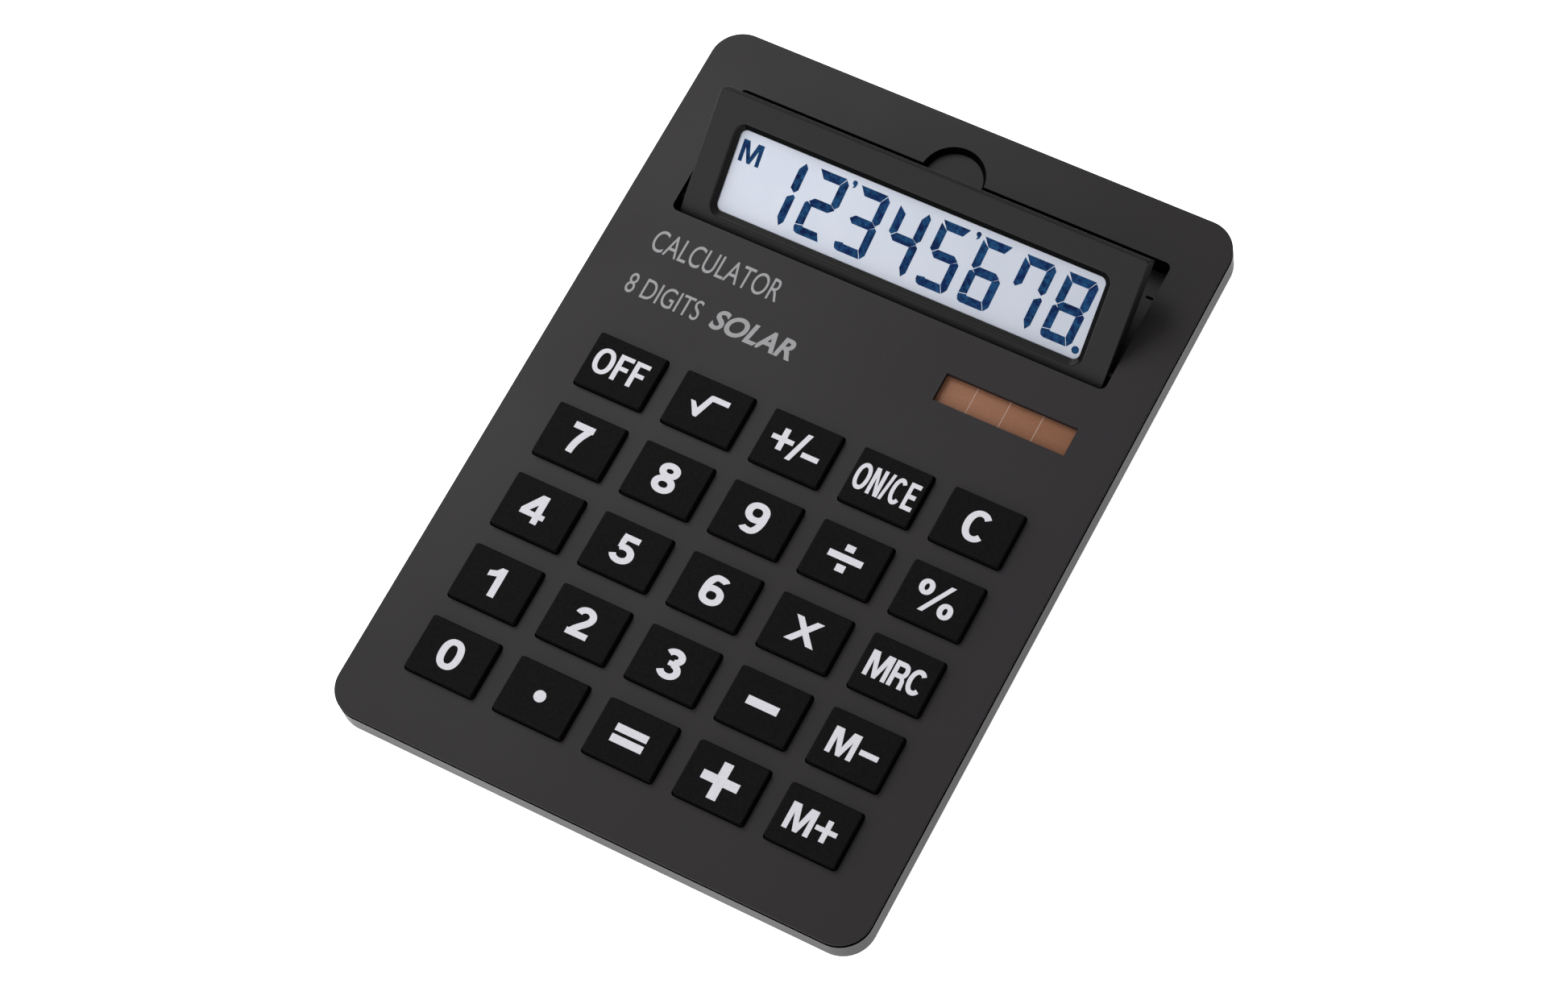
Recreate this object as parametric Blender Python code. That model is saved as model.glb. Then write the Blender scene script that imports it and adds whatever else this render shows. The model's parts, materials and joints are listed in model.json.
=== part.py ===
"""Desk calculator with a tilting display, 25 keys, a solar cell and a round battery cover.

Every number below is in millimetres or degrees; meshes are turned into metres as they are made.
The origin is the centre of the footprint on the table. X runs to the right, Y to the back, Z up.
"""

import math

import bmesh
import bpy

MM = 0.001

# Gap between parts that touch on the real object.
GAP = 0.3
# A shape that is joined to another reaches this far into it, and a cutter this far past its target.
INTO = 0.5
PAST = 1.0
SMOOTH_ANGLE = 35.0

# Case: an A4 footprint.
CASE_WIDTH = 210.0
CASE_DEPTH = 296.0
CASE_TOP = 15.0
CASE_BOTTOM = 1.0
CASE_CORNER = 12.0
CORNER_STEPS = 6
WALL = 2.0
COVER_THICKNESS = 2.0
COVER_RIM = 1.5
RIM_GAP = 0.4
TOP_FILLET = 1.0
BOTTOM_FILLET = 2.4
FLOOR = CASE_BOTTOM + WALL
UNDERSIDE = CASE_TOP - COVER_THICKNESS
BOSS_TOP = UNDERSIDE + 0.8

# Keys.
KEY_NAMES = (
    ("key_off", "key_square_root", "key_plus_minus", "key_on_ce", "key_clear"),
    ("key_7", "key_8", "key_9", "key_divide", "key_percent"),
    ("key_4", "key_5", "key_6", "key_multiply", "key_memory_recall"),
    ("key_1", "key_2", "key_3", "key_minus", "key_memory_minus"),
    ("key_0", "key_decimal_point", "key_equals", "key_plus", "key_memory_plus"),
)
MIDDLE_ROW = 2
MIDDLE_COLUMN = 2
KEY_PITCH_X = 35.6
KEY_PITCH_Y = 30.1
KEY_GRID_Y = -53.4
KEY_TOP_X = 27.1
KEY_TOP_Y = 21.2
KEY_RISE = 2.4
KEY_CORNER = 0.8
KEY_DRAFT = 0.15
KEY_HOLE_GAP = 0.5
KEY_FLANGE = 1.0
FLANGE_THICKNESS = 1.5
KEY_SHELL = 1.4
KEY_EDGE = 0.4

# Display module. Its own axes: origin on the hinge, Y up the face, Z out of the face.
HINGE_Y = 80.55
HINGE_DEPTH = 4.0
HINGE_Z = CASE_TOP - HINGE_DEPTH
TILT_DEGREES = 33.0
MODULE_WIDTH = 170.4
MODULE_FRONT = -5.46
MODULE_BACK = 43.04
MODULE_FACE = 4.0
MODULE_BOTTOM = -4.0
MODULE_CORNER = 1.3
MODULE_FILLET = 0.8
MODULE_WALL = 1.8
MODULE_INNER_CORNER = 0.6
MODULE_CORNER_STEPS = 3
FACE_THICKNESS = 2.0
MODULE_CEILING = MODULE_FACE - FACE_THICKNESS
SHELL_BOTTOM = -2.3
WINDOW_WIDTH = 146.2
WINDOW_FRONT = 0.24
WINDOW_BACK = 31.24
WINDOW_CORNER = 2.6
WINDOW_BEVEL = 2.4
# The window's edge drops this deep while it has come in to this share of the bevel.
SHOULDER_DEPTH = 0.7
SHOULDER_SHARE = 0.3

# Inside the display module.
PIN_BOSS_INNER_X = 78.6
PIN_BOSS_HALF = 3.2
MODULE_SCREW_X = 80.0
MODULE_SCREW_Y = 37.8
MODULE_POST_RADIUS = 2.4
MODULE_BORE_RADIUS = 1.0
MODULE_BORE_TOP = 1.2
MODULE_RECESS_RADIUS = 2.3
MODULE_RECESS_TOP = -3.1
# Outline of the back cover's rounded front and back edges, as (y, z), with y from the module's end.
BACK_COVER_FRONT = ((0.56, -2.9), (1.36, -3.6), (2.56, MODULE_BOTTOM))
BACK_COVER_BACK = ((-1.0, MODULE_BOTTOM), (-0.3, -3.7), (0.0, -3.0))
LCD_HALF_X = 76.0
LCD_FRONT = -2.9
LCD_BACK = 36.6
STRIP_HALF_X = 70.0
STRIP_FRONT = 33.2
STRIP_BACK = 35.6
STRIP_BOTTOM = -1.0
DISPLAY_BOARD_HALF_X = 74.0
DISPLAY_BOARD_FRONT = 24.0
DISPLAY_BOARD_BACK = 40.6
DISPLAY_BOARD_TOP = -1.3

# Recess that the module folds into.
RECESS_WIDTH = 174.4
RECESS_FRONT = 72.3
RECESS_BACK = 126.6
RECESS_CORNER = 2.5
RECESS_CORNER_STEPS = 3
RECESS_FLOOR = 4.8
RECESS_WALL = 1.8
RECESS_SKIN = 1.2

# Finger notch behind the display.
NOTCH_Y = 125.6
NOTCH_TOP_RADIUS = 12.3
NOTCH_FLOOR_RADIUS = 11.0
NOTCH_DEPTH = 3.0
NOTCH_WALL = 1.4
ROUND_SIDES = 32

# Slots in the recess: one for the cable in its front wall, one drain in its floor.
CABLE_SLOT_X = (-31.0, -19.0)
CABLE_SLOT_Z = (5.6, 7.4)
DRAIN_SLOT_X = (81.6, 84.4)
DRAIN_SLOT_Y = (115.4, 116.4)

# Solar cell window.
SOLAR_X = 59.95
SOLAR_Y = 49.85
SOLAR_WIDTH = 51.4
SOLAR_DEPTH = 11.3
SOLAR_LAP = 1.4
SOLAR_THICKNESS = 1.2
LEAD_X = (48.0, 50.4)
LEAD_THICKNESS = 0.8

# Hinge pins.
PIN_RADIUS = 1.5
PIN_INNER_X = 79.5
PIN_OUTER_X = 94.2
PIN_CLEARANCE = 0.2
PIN_PRESS_GAP = 0.1
PIN_BOSS_WIDTH = 2.8
PIN_BOSS_SIDE = 4.0
CLIP_X = (92.2, 93.6)
CLIP_INNER = 1.8
CLIP_OUTER = 2.7
CLIP_SWEEP = 125.0
CLIP_STEPS = 10

# Electronics.
BOARD_HALF_X = 91.5
BOARD_FRONT = -131.0
BOARD_BACK = 36.0
BOARD_CORNER = 3.0
BOARD_BOTTOM = 5.2
BOARD_THICKNESS = 1.0
BOARD_TOP = BOARD_BOTTOM + BOARD_THICKNESS
BOARD_POST_X = 80.0
BOARD_POST_INSET = 6.0
BOARD_POST_RADIUS = 2.8
BOARD_SCREWS = ((-17.8, -38.35), (17.8, -68.45))
BOARD_SCREW_RADIUS = 0.9
BOARD_SCREW_TIP = 3.4
BOARD_SCREW_BORE = 1.1
BOARD_SCREW_BORE_TOP = 6.0
BOARD_HOLE_RADIUS = 1.2
BOARD_HEAD_RADIUS = 2.2
BOARD_HEAD_HEIGHT = 1.2
CHIP_HALF_X = 7.0
CHIP_Y = (21.5, 34.5)
CHIP_HEIGHT = 1.6
MAT_THICKNESS = 0.8
MAT_HALF_X = 88.0
MAT_FRONT = -126.0
MAT_BACK = 20.0
MAT_CORNER = 4.0
MAT_HOLE_RADIUS = 3.0
DOME_TOP = 9.2
DOME_RADIUS = 5.0
DOME_TOP_SHARE = 0.6
DOME_SIDES = 10
DOME_INTO = 0.4
FILM_X = (-30.0, -20.0)
FILM_HALF = 0.15

# Button cell and its contacts.
CELL_X = -60.0
CELL_Y = 54.0
CELL_LOW = CASE_BOTTOM + 1.9
CELL_RADIUS = 5.8
CELL_HEIGHT = 5.4
CELL_HIGH = CELL_LOW + CELL_HEIGHT
CELL_CAP_INSET = 0.9
CELL_CAP_HEIGHT = 0.6
CELL_SIDES = 24
CONTACT_FRONT = 30.0
CONTACT_THICKNESS = 0.4
CONTACT_HALF_X = 2.0
CONTACT_REACH = 3.0
BLADE_FRONT = 3.4
BLADE_LOW = 4.7

# Battery cover and the well that it sits in.
COVER_RADIUS = 9.5
COVER_GAP = 0.4
CUP_WALL_HEIGHT = 1.3
LUG_RADIUS = 11.2
LUG_DEGREES = 36.0
LUG_STEPS = 4
LUG_INTO = 1.0
COIN_SLOT_HALF_X = 6.0
COIN_SLOT_HALF_Y = 1.0
COIN_SLOT_DEPTH = 0.9
WELL_TOP = 6.0
WELL_GAP = 0.8
WELL_WALL = 1.8
GATE_GAP_X = 0.6
GATE_GAP_Y = 0.5
GATE_TOP = 5.0

# Case screws and feet.
CASE_SCREW_X = 97.0
CASE_SCREWS_Y = {"front": -125.0, "middle": 5.0, "back": 118.0}
BOSS_LOW = 9.4
BOSS_RADIUS = 3.2
BOSS_BORE_RADIUS = 1.35
BOSS_BORE_TOP = 12.6
SCREW_POST_TOP = 9.1
SCREW_POST_RADIUS = 3.8
SCREW_POST_BORE = 1.5
HEAD_RECESS_RADIUS = 2.9
HEAD_RECESS_TOP = 5.0
HEAD_RADIUS = 2.4
HEAD_LOW = 3.0
HEAD_HIGH = 4.7
SHAFT_RADIUS = 1.1
SHAFT_TIP = 12.2
FOOT_X = 90.0
FOOT_Y = 134.0
FOOT_RADIUS = 5.0
FOOT_CHAMFER = 0.5
FOOT_SINK = 0.7


def clear_scene():
    for thing in list(bpy.data.objects):
        bpy.data.objects.remove(thing, do_unlink=True)


def material(name, colour, roughness, metallic=0.0):
    """A Principled material; a second call with the same name gives the same one."""
    found = bpy.data.materials.get(name)
    if found:
        return found
    made = bpy.data.materials.new(name)
    made.use_nodes = True
    shader = made.node_tree.nodes["Principled BSDF"]
    shader.inputs["Base Color"].default_value = (*colour, 1.0)
    shader.inputs["Roughness"].default_value = roughness
    shader.inputs["Metallic"].default_value = metallic
    return made


def charcoal():
    return material("charcoal_plastic", (0.045, 0.041, 0.043), 0.6)


def bezel_grey():
    return material("bezel_plastic", (0.032, 0.031, 0.032), 0.55)


def key_black():
    return material("key_plastic", (0.010, 0.010, 0.010), 0.62)


def steel():
    return material("steel", (0.62, 0.62, 0.63), 0.3, 1.0)


def board_green():
    return material("circuit_board", (0.02, 0.13, 0.06), 0.45)


def add_mesh(name, shell, finish, parent=None, cutter=False):
    """Turns a bmesh in millimetres into an object in metres."""
    bmesh.ops.recalc_face_normals(shell, faces=shell.faces)
    bmesh.ops.scale(shell, vec=(MM, MM, MM), verts=shell.verts)
    mesh = bpy.data.meshes.new(name)
    shell.to_mesh(mesh)
    shell.free()
    made = bpy.data.objects.new(name, mesh)
    bpy.context.scene.collection.objects.link(made)
    if cutter:
        made.hide_render = True
        made.display_type = "WIRE"
    else:
        mesh.materials.append(finish)
        mesh.shade_smooth()
        mesh.set_sharp_from_angle(angle=math.radians(SMOOTH_ANGLE))
    made.parent = parent
    return made


def ring(half_x, half_y, corner, z, centre=(0.0, 0.0), steps=CORNER_STEPS):
    """Points of a rectangle with round corners, anticlockwise from above."""
    points = []
    corners = ((1, 1, 0), (-1, 1, 90), (-1, -1, 180), (1, -1, 270))
    for side_x, side_y, start in corners:
        for step in range(steps + 1):
            angle = math.radians(start + 90.0 * step / steps)
            x = side_x * (half_x - corner) + corner * math.cos(angle)
            y = side_y * (half_y - corner) + corner * math.sin(angle)
            points.append((centre[0] + x, centre[1] + y, z))
    return points


def circle(radius, z, centre=(0.0, 0.0), sides=16):
    points = []
    for step in range(sides):
        angle = 2.0 * math.pi * (step + 0.5) / sides
        x = centre[0] + radius * math.cos(angle)
        y = centre[1] + radius * math.sin(angle)
        points.append((x, y, z))
    return points


def loft(rings, into=None, closed=False):
    """A body through rings of equal point counts, capped at both ends or closed into a loop."""
    shell = into or bmesh.new()
    rows = [[shell.verts.new(point) for point in points] for points in rings]
    pairs = list(zip(rows, rows[1:]))
    if closed:
        pairs.append((rows[-1], rows[0]))
    else:
        shell.faces.new(list(reversed(rows[0])))
        shell.faces.new(rows[-1])
    for lower, upper in pairs:
        count = len(lower)
        for i in range(count):
            j = (i + 1) % count
            shell.faces.new((lower[i], lower[j], upper[j], upper[i]))
    return shell


def block(low, high, into=None):
    """A box between two corners."""
    rings = []
    for z in (low[2], high[2]):
        rings.append(
            [
                (high[0], high[1], z),
                (low[0], high[1], z),
                (low[0], low[1], z),
                (high[0], low[1], z),
            ]
        )
    return loft(rings, into)


def post(x, y, low, high, radius, into=None, sides=16):
    return loft([circle(radius, z, (x, y), sides) for z in (low, high)], into)


def turned(x, y, profile, sides=12):
    """A round body along Z through (radius, z) points."""
    return loft([circle(radius, z, (x, y), sides) for radius, z in profile])


def rod_along_x(low_x, high_x, y, z, radius, into=None, sides=16):
    rings = []
    for x in (low_x, high_x):
        rings.append([(x, y + a, z + b) for a, b, _ in circle(radius, 0.0, sides=sides)])
    return loft(rings, into)


def profile_along_x(points, low_x, high_x, into=None):
    """A closed (y, z) outline run along X."""
    return loft([[(x, y, z) for y, z in points] for x in (low_x, high_x)], into)


def combine(target, operation, shell):
    """Adds a live Boolean to the target with a hidden helper made from the shell."""
    name = f"{target.name}_{operation.lower()}_{len(target.modifiers)}"
    helper = add_mesh(name, shell, None, parent=target.parent, cutter=True)
    modifier = target.modifiers.new(name, "BOOLEAN")
    modifier.operation = operation
    modifier.solver = "EXACT"
    modifier.object = helper


def axis_empty(name, location, tilt=0.0):
    """An empty on a joint's axis, which the moving parts are parented to."""
    made = bpy.data.objects.new(name, None)
    made.location = [MM * value for value in location]
    made.rotation_euler = (math.radians(tilt), 0.0, 0.0)
    bpy.context.scene.collection.objects.link(made)
    return made


def side_span(side, near, far):
    """The lower and the higher X of a stretch on the left (-1) or the right (1)."""
    return sorted((side * near, side * far))


def case_screws():
    """(name, x, y) of the six case screws."""
    places = []
    for row, y in CASE_SCREWS_Y.items():
        for side, x in (("left", -CASE_SCREW_X), ("right", CASE_SCREW_X)):
            places.append((f"case_screw_{row}_{side}", x, y))
    return places


def feet():
    """(name, x, y) of the four feet."""
    places = []
    for row, y in (("front", -FOOT_Y), ("back", FOOT_Y)):
        for side, x in (("left", -FOOT_X), ("right", FOOT_X)):
            places.append((f"foot_{row}_{side}", x, y))
    return places


def key_places():
    """(name, x, y) of the 25 keys, back row first."""
    places = []
    for row, names in enumerate(KEY_NAMES):
        for column, name in enumerate(names):
            x = (column - MIDDLE_COLUMN) * KEY_PITCH_X
            y = KEY_GRID_Y - (row - MIDDLE_ROW) * KEY_PITCH_Y
            places.append((name, x, y))
    return places


def fillet_rings(half_x, half_y, corner, top, radius, centre=(0.0, 0.0), corner_steps=CORNER_STEPS):
    """Rings that round the upper edge of a block over to its top face in two steps."""
    rings = []
    for angle in (0.0, math.radians(45.0), math.radians(90.0)):
        inset = radius * (1.0 - math.cos(angle))
        z = top - radius + radius * math.sin(angle)
        rings.append(ring(half_x - inset, half_y - inset, corner - inset, z, centre, corner_steps))
    return rings


def make_top_cover():
    half_x = CASE_WIDTH / 2.0
    half_y = CASE_DEPTH / 2.0
    rim = CASE_TOP - COVER_RIM
    step_in = WALL + RIM_GAP
    rings = []
    for z in (UNDERSIDE, rim):
        rings.append(ring(half_x - step_in, half_y - step_in, CASE_CORNER - step_in, z))
    rings.append(ring(half_x, half_y, CASE_CORNER, rim))
    rings += fillet_rings(half_x, half_y, CASE_CORNER, CASE_TOP, TOP_FILLET)
    cover = add_mesh("top_cover", loft(rings), charcoal())

    recess_middle = (0.0, (RECESS_FRONT + RECESS_BACK) / 2.0)
    recess_half_x = RECESS_WIDTH / 2.0
    recess_half_y = (RECESS_BACK - RECESS_FRONT) / 2.0
    outer_x = recess_half_x + RECESS_WALL
    outer_y = recess_half_y + RECESS_WALL
    outer_corner = RECESS_CORNER + RECESS_WALL
    tub = [
        ring(outer_x, outer_y, outer_corner, z, recess_middle, RECESS_CORNER_STEPS)
        for z in (RECESS_FLOOR - RECESS_SKIN, BOSS_TOP)
    ]
    combine(cover, "UNION", loft(tub))
    cup_low = CASE_TOP - NOTCH_DEPTH - RECESS_SKIN
    cup_radius = NOTCH_TOP_RADIUS + NOTCH_WALL
    combine(cover, "UNION", post(0.0, NOTCH_Y, cup_low, BOSS_TOP, cup_radius, sides=ROUND_SIDES))

    bosses = None
    for side in (-1, 1):
        low_x, high_x = side_span(side, outer_x - INTO, outer_x + PIN_BOSS_WIDTH)
        low = (low_x, HINGE_Y - PIN_BOSS_SIDE, HINGE_Z - PIN_BOSS_SIDE)
        high = (high_x, HINGE_Y + PIN_BOSS_SIDE, BOSS_TOP)
        bosses = block(low, high, bosses)
    for _, x, y in case_screws():
        bosses = post(x, y, BOSS_LOW, BOSS_TOP, BOSS_RADIUS, bosses)
    combine(cover, "UNION", bosses)

    cavity = [
        ring(recess_half_x, recess_half_y, RECESS_CORNER, z, recess_middle, RECESS_CORNER_STEPS)
        for z in (RECESS_FLOOR, CASE_TOP + PAST)
    ]
    combine(cover, "DIFFERENCE", loft(cavity))

    flare = PAST * (NOTCH_TOP_RADIUS - NOTCH_FLOOR_RADIUS) / NOTCH_DEPTH
    notch = turned(
        0.0,
        NOTCH_Y,
        (
            (NOTCH_FLOOR_RADIUS, CASE_TOP - NOTCH_DEPTH),
            (NOTCH_TOP_RADIUS + flare, CASE_TOP + PAST),
        ),
        ROUND_SIDES,
    )
    combine(cover, "DIFFERENCE", notch)

    holes = None
    hole_x = KEY_TOP_X / 2.0 + KEY_DRAFT + KEY_HOLE_GAP
    hole_y = KEY_TOP_Y / 2.0 + KEY_DRAFT + KEY_HOLE_GAP
    for _, x, y in key_places():
        rings = [
            ring(hole_x, hole_y, KEY_CORNER + KEY_HOLE_GAP, z, (x, y), 1)
            for z in (UNDERSIDE - PAST, CASE_TOP + PAST)
        ]
        holes = loft(rings, holes)
    low = (SOLAR_X - SOLAR_WIDTH / 2.0, SOLAR_Y - SOLAR_DEPTH / 2.0, UNDERSIDE - PAST)
    high = (SOLAR_X + SOLAR_WIDTH / 2.0, SOLAR_Y + SOLAR_DEPTH / 2.0, CASE_TOP + PAST)
    holes = block(low, high, holes)
    for _, x, y in case_screws():
        holes = post(x, y, BOSS_LOW - PAST, BOSS_BORE_TOP, BOSS_BORE_RADIUS, holes, 8)
    for side in (-1, 1):
        low_x, high_x = side_span(side, recess_half_x - PAST, outer_x + PIN_BOSS_WIDTH + PAST)
        holes = rod_along_x(low_x, high_x, HINGE_Y, HINGE_Z, PIN_RADIUS + PIN_CLEARANCE, holes)
    combine(cover, "DIFFERENCE", holes)

    low = (CABLE_SLOT_X[0], RECESS_FRONT - RECESS_WALL - PAST, CABLE_SLOT_Z[0])
    high = (CABLE_SLOT_X[1], RECESS_FRONT + PAST, CABLE_SLOT_Z[1])
    slots = block(low, high)
    low = (DRAIN_SLOT_X[0], DRAIN_SLOT_Y[0], RECESS_FLOOR - RECESS_SKIN - PAST)
    high = (DRAIN_SLOT_X[1], DRAIN_SLOT_Y[1], RECESS_FLOOR + PAST)
    slots = block(low, high, slots)
    combine(cover, "DIFFERENCE", slots)


def make_bottom_case():
    half_x = CASE_WIDTH / 2.0
    half_y = CASE_DEPTH / 2.0
    wall_top = CASE_TOP - COVER_RIM - RIM_GAP
    inner_x = half_x - WALL
    inner_y = half_y - WALL
    inner_corner = CASE_CORNER - WALL
    rings = [
        ring(inner_x, inner_y, inner_corner, FLOOR),
        ring(inner_x, inner_y, inner_corner, wall_top),
        ring(half_x, half_y, CASE_CORNER, wall_top),
    ]
    for degrees in (0.0, 30.0, 60.0, 90.0):
        angle = math.radians(degrees)
        inset = BOTTOM_FILLET * (1.0 - math.cos(angle))
        z = CASE_BOTTOM + BOTTOM_FILLET * (1.0 - math.sin(angle))
        rings.append(ring(half_x - inset, half_y - inset, CASE_CORNER - inset, z))
    case = add_mesh("bottom_case", loft(rings), charcoal())

    posts = None
    for _, x, y in case_screws():
        posts = post(x, y, FLOOR - INTO, SCREW_POST_TOP, SCREW_POST_RADIUS, posts)
    board_posts = list(BOARD_SCREWS)
    for x in (-BOARD_POST_X, BOARD_POST_X):
        for y in (BOARD_FRONT + BOARD_POST_INSET, BOARD_BACK - BOARD_POST_INSET):
            board_posts.append((x, y))
    for x, y in board_posts:
        posts = post(x, y, FLOOR - INTO, BOARD_BOTTOM - GAP, BOARD_POST_RADIUS, posts, 12)
    combine(case, "UNION", posts)
    well_inner = LUG_RADIUS + WELL_GAP
    well_outer = well_inner + WELL_WALL
    well = post(CELL_X, CELL_Y, FLOOR - INTO, WELL_TOP, well_outer, sides=ROUND_SIDES)
    combine(case, "UNION", well)

    holes = post(CELL_X, CELL_Y, FLOOR, WELL_TOP + PAST, well_inner, sides=ROUND_SIDES)
    combine(case, "DIFFERENCE", holes)
    low = CASE_BOTTOM - PAST
    holes = post(CELL_X, CELL_Y, low, WELL_TOP + PAST, COVER_RADIUS + COVER_GAP, sides=ROUND_SIDES)
    for _, x, y in case_screws():
        holes = post(x, y, low, HEAD_RECESS_TOP, HEAD_RECESS_RADIUS, holes, 12)
    for _, x, y in feet():
        holes = post(x, y, low, CASE_BOTTOM + FOOT_SINK + GAP, FOOT_RADIUS + GAP, holes)
    combine(case, "DIFFERENCE", holes)
    holes = None
    for _, x, y in case_screws():
        holes = post(x, y, HEAD_RECESS_TOP - PAST, SCREW_POST_TOP + PAST, SCREW_POST_BORE, holes, 8)
    for x, y in BOARD_SCREWS:
        holes = post(x, y, FLOOR, BOARD_SCREW_BORE_TOP, BOARD_SCREW_BORE, holes, 8)
    # Two gates that let the lugs in when the cover is turned a quarter.
    gate = LUG_RADIUS * math.sin(math.radians(LUG_DEGREES / 2.0)) + GATE_GAP_X
    reach = LUG_RADIUS + GATE_GAP_Y
    gate_low = (CELL_X - gate, CELL_Y - reach, low)
    gate_high = (CELL_X + gate, CELL_Y + reach, GATE_TOP)
    holes = block(gate_low, gate_high, holes)
    combine(case, "DIFFERENCE", holes)


def make_keys():
    """Each key is a shell with a flange that stops it under the cover."""
    flange_top = UNDERSIDE - GAP
    flange_bottom = flange_top - FLANGE_THICKNESS
    top = CASE_TOP + KEY_RISE
    top_x = KEY_TOP_X / 2.0
    top_y = KEY_TOP_Y / 2.0
    base_x = top_x + KEY_DRAFT
    base_y = top_y + KEY_DRAFT
    flange = KEY_HOLE_GAP + KEY_FLANGE
    outline = (
        (base_x - KEY_SHELL, base_y - KEY_SHELL, top - KEY_SHELL),
        (base_x - KEY_SHELL, base_y - KEY_SHELL, flange_bottom),
        (base_x + flange, base_y + flange, flange_bottom),
        (base_x + flange, base_y + flange, flange_top),
        (base_x, base_y, flange_top),
        (top_x, top_y, top - KEY_EDGE),
        (top_x - KEY_EDGE, top_y - KEY_EDGE, top),
    )
    for name, x, y in key_places():
        rings = [ring(half_x, half_y, KEY_CORNER, z, steps=1) for half_x, half_y, z in outline]
        key = add_mesh(name, loft(rings), key_black())
        key.location = (x * MM, y * MM, 0.0)


def make_key_mat():
    bottom = BOARD_TOP + GAP
    top = bottom + MAT_THICKNESS
    centre = (0.0, (MAT_FRONT + MAT_BACK) / 2.0)
    half_y = (MAT_BACK - MAT_FRONT) / 2.0
    rings = [ring(MAT_HALF_X, half_y, MAT_CORNER, z, centre, 2) for z in (bottom, top)]
    rubber = material("silicone_rubber", (0.35, 0.36, 0.38), 0.8)
    mat = add_mesh("key_mat", loft(rings), rubber)
    domes = None
    for _, x, y in key_places():
        rings = [
            circle(DOME_RADIUS, top - DOME_INTO, (x, y), DOME_SIDES),
            circle(DOME_RADIUS * DOME_TOP_SHARE, DOME_TOP, (x, y), DOME_SIDES),
        ]
        domes = loft(rings, domes)
    combine(mat, "UNION", domes)
    holes = None
    for x, y in BOARD_SCREWS:
        holes = post(x, y, bottom - PAST, top + PAST, MAT_HOLE_RADIUS, holes, 12)
    combine(mat, "DIFFERENCE", holes)


def make_circuit_board():
    centre = (0.0, (BOARD_FRONT + BOARD_BACK) / 2.0)
    half_y = (BOARD_BACK - BOARD_FRONT) / 2.0
    heights = (BOARD_BOTTOM, BOARD_TOP)
    rings = [ring(BOARD_HALF_X, half_y, BOARD_CORNER, z, centre, 2) for z in heights]
    board = add_mesh("circuit_board", loft(rings), board_green())
    holes = None
    for x, y in BOARD_SCREWS:
        holes = post(x, y, BOARD_BOTTOM - PAST, BOARD_TOP + PAST, BOARD_HOLE_RADIUS, holes, 8)
    combine(board, "DIFFERENCE", holes)

    seat = BOARD_TOP + GAP
    epoxy = material("chip_epoxy", (0.012, 0.012, 0.012), 0.5)
    chip = block((-CHIP_HALF_X, CHIP_Y[0], seat), (CHIP_HALF_X, CHIP_Y[1], seat + CHIP_HEIGHT))
    add_mesh("controller_chip", chip, epoxy)

    profile = (
        (BOARD_SCREW_RADIUS, BOARD_SCREW_TIP),
        (BOARD_SCREW_RADIUS, seat),
        (BOARD_HEAD_RADIUS, seat),
        (BOARD_HEAD_RADIUS, seat + BOARD_HEAD_HEIGHT),
    )
    for i, (x, y) in enumerate(BOARD_SCREWS):
        add_mesh(f"board_screw_{i + 1}", turned(x, y, profile), steel())


def make_solar_cell():
    top = UNDERSIDE - GAP
    half_x = SOLAR_WIDTH / 2.0 + SOLAR_LAP
    half_y = SOLAR_DEPTH / 2.0 + SOLAR_LAP
    low = (SOLAR_X - half_x, SOLAR_Y - half_y, top - SOLAR_THICKNESS)
    high = (SOLAR_X + half_x, SOLAR_Y + half_y, top)
    brown = material("solar_cell", (0.26, 0.13, 0.08), 0.35)
    add_mesh("solar_cell", block(low, high), brown)

    # A flat two-core lead from the cell's underside down to the board.
    lead_top = top - SOLAR_THICKNESS - GAP
    seat = BOARD_TOP + GAP
    outline = (
        (46.0, lead_top),
        (46.0, lead_top - LEAD_THICKNESS),
        (39.4, lead_top - LEAD_THICKNESS),
        (34.6, seat),
        (30.0, seat),
        (30.0, seat + LEAD_THICKNESS),
        (34.9, seat + LEAD_THICKNESS),
        (39.7, lead_top),
    )
    red = material("lead_insulation", (0.45, 0.03, 0.03), 0.5)
    add_mesh("solar_lead", profile_along_x(outline, *LEAD_X), red)


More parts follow.
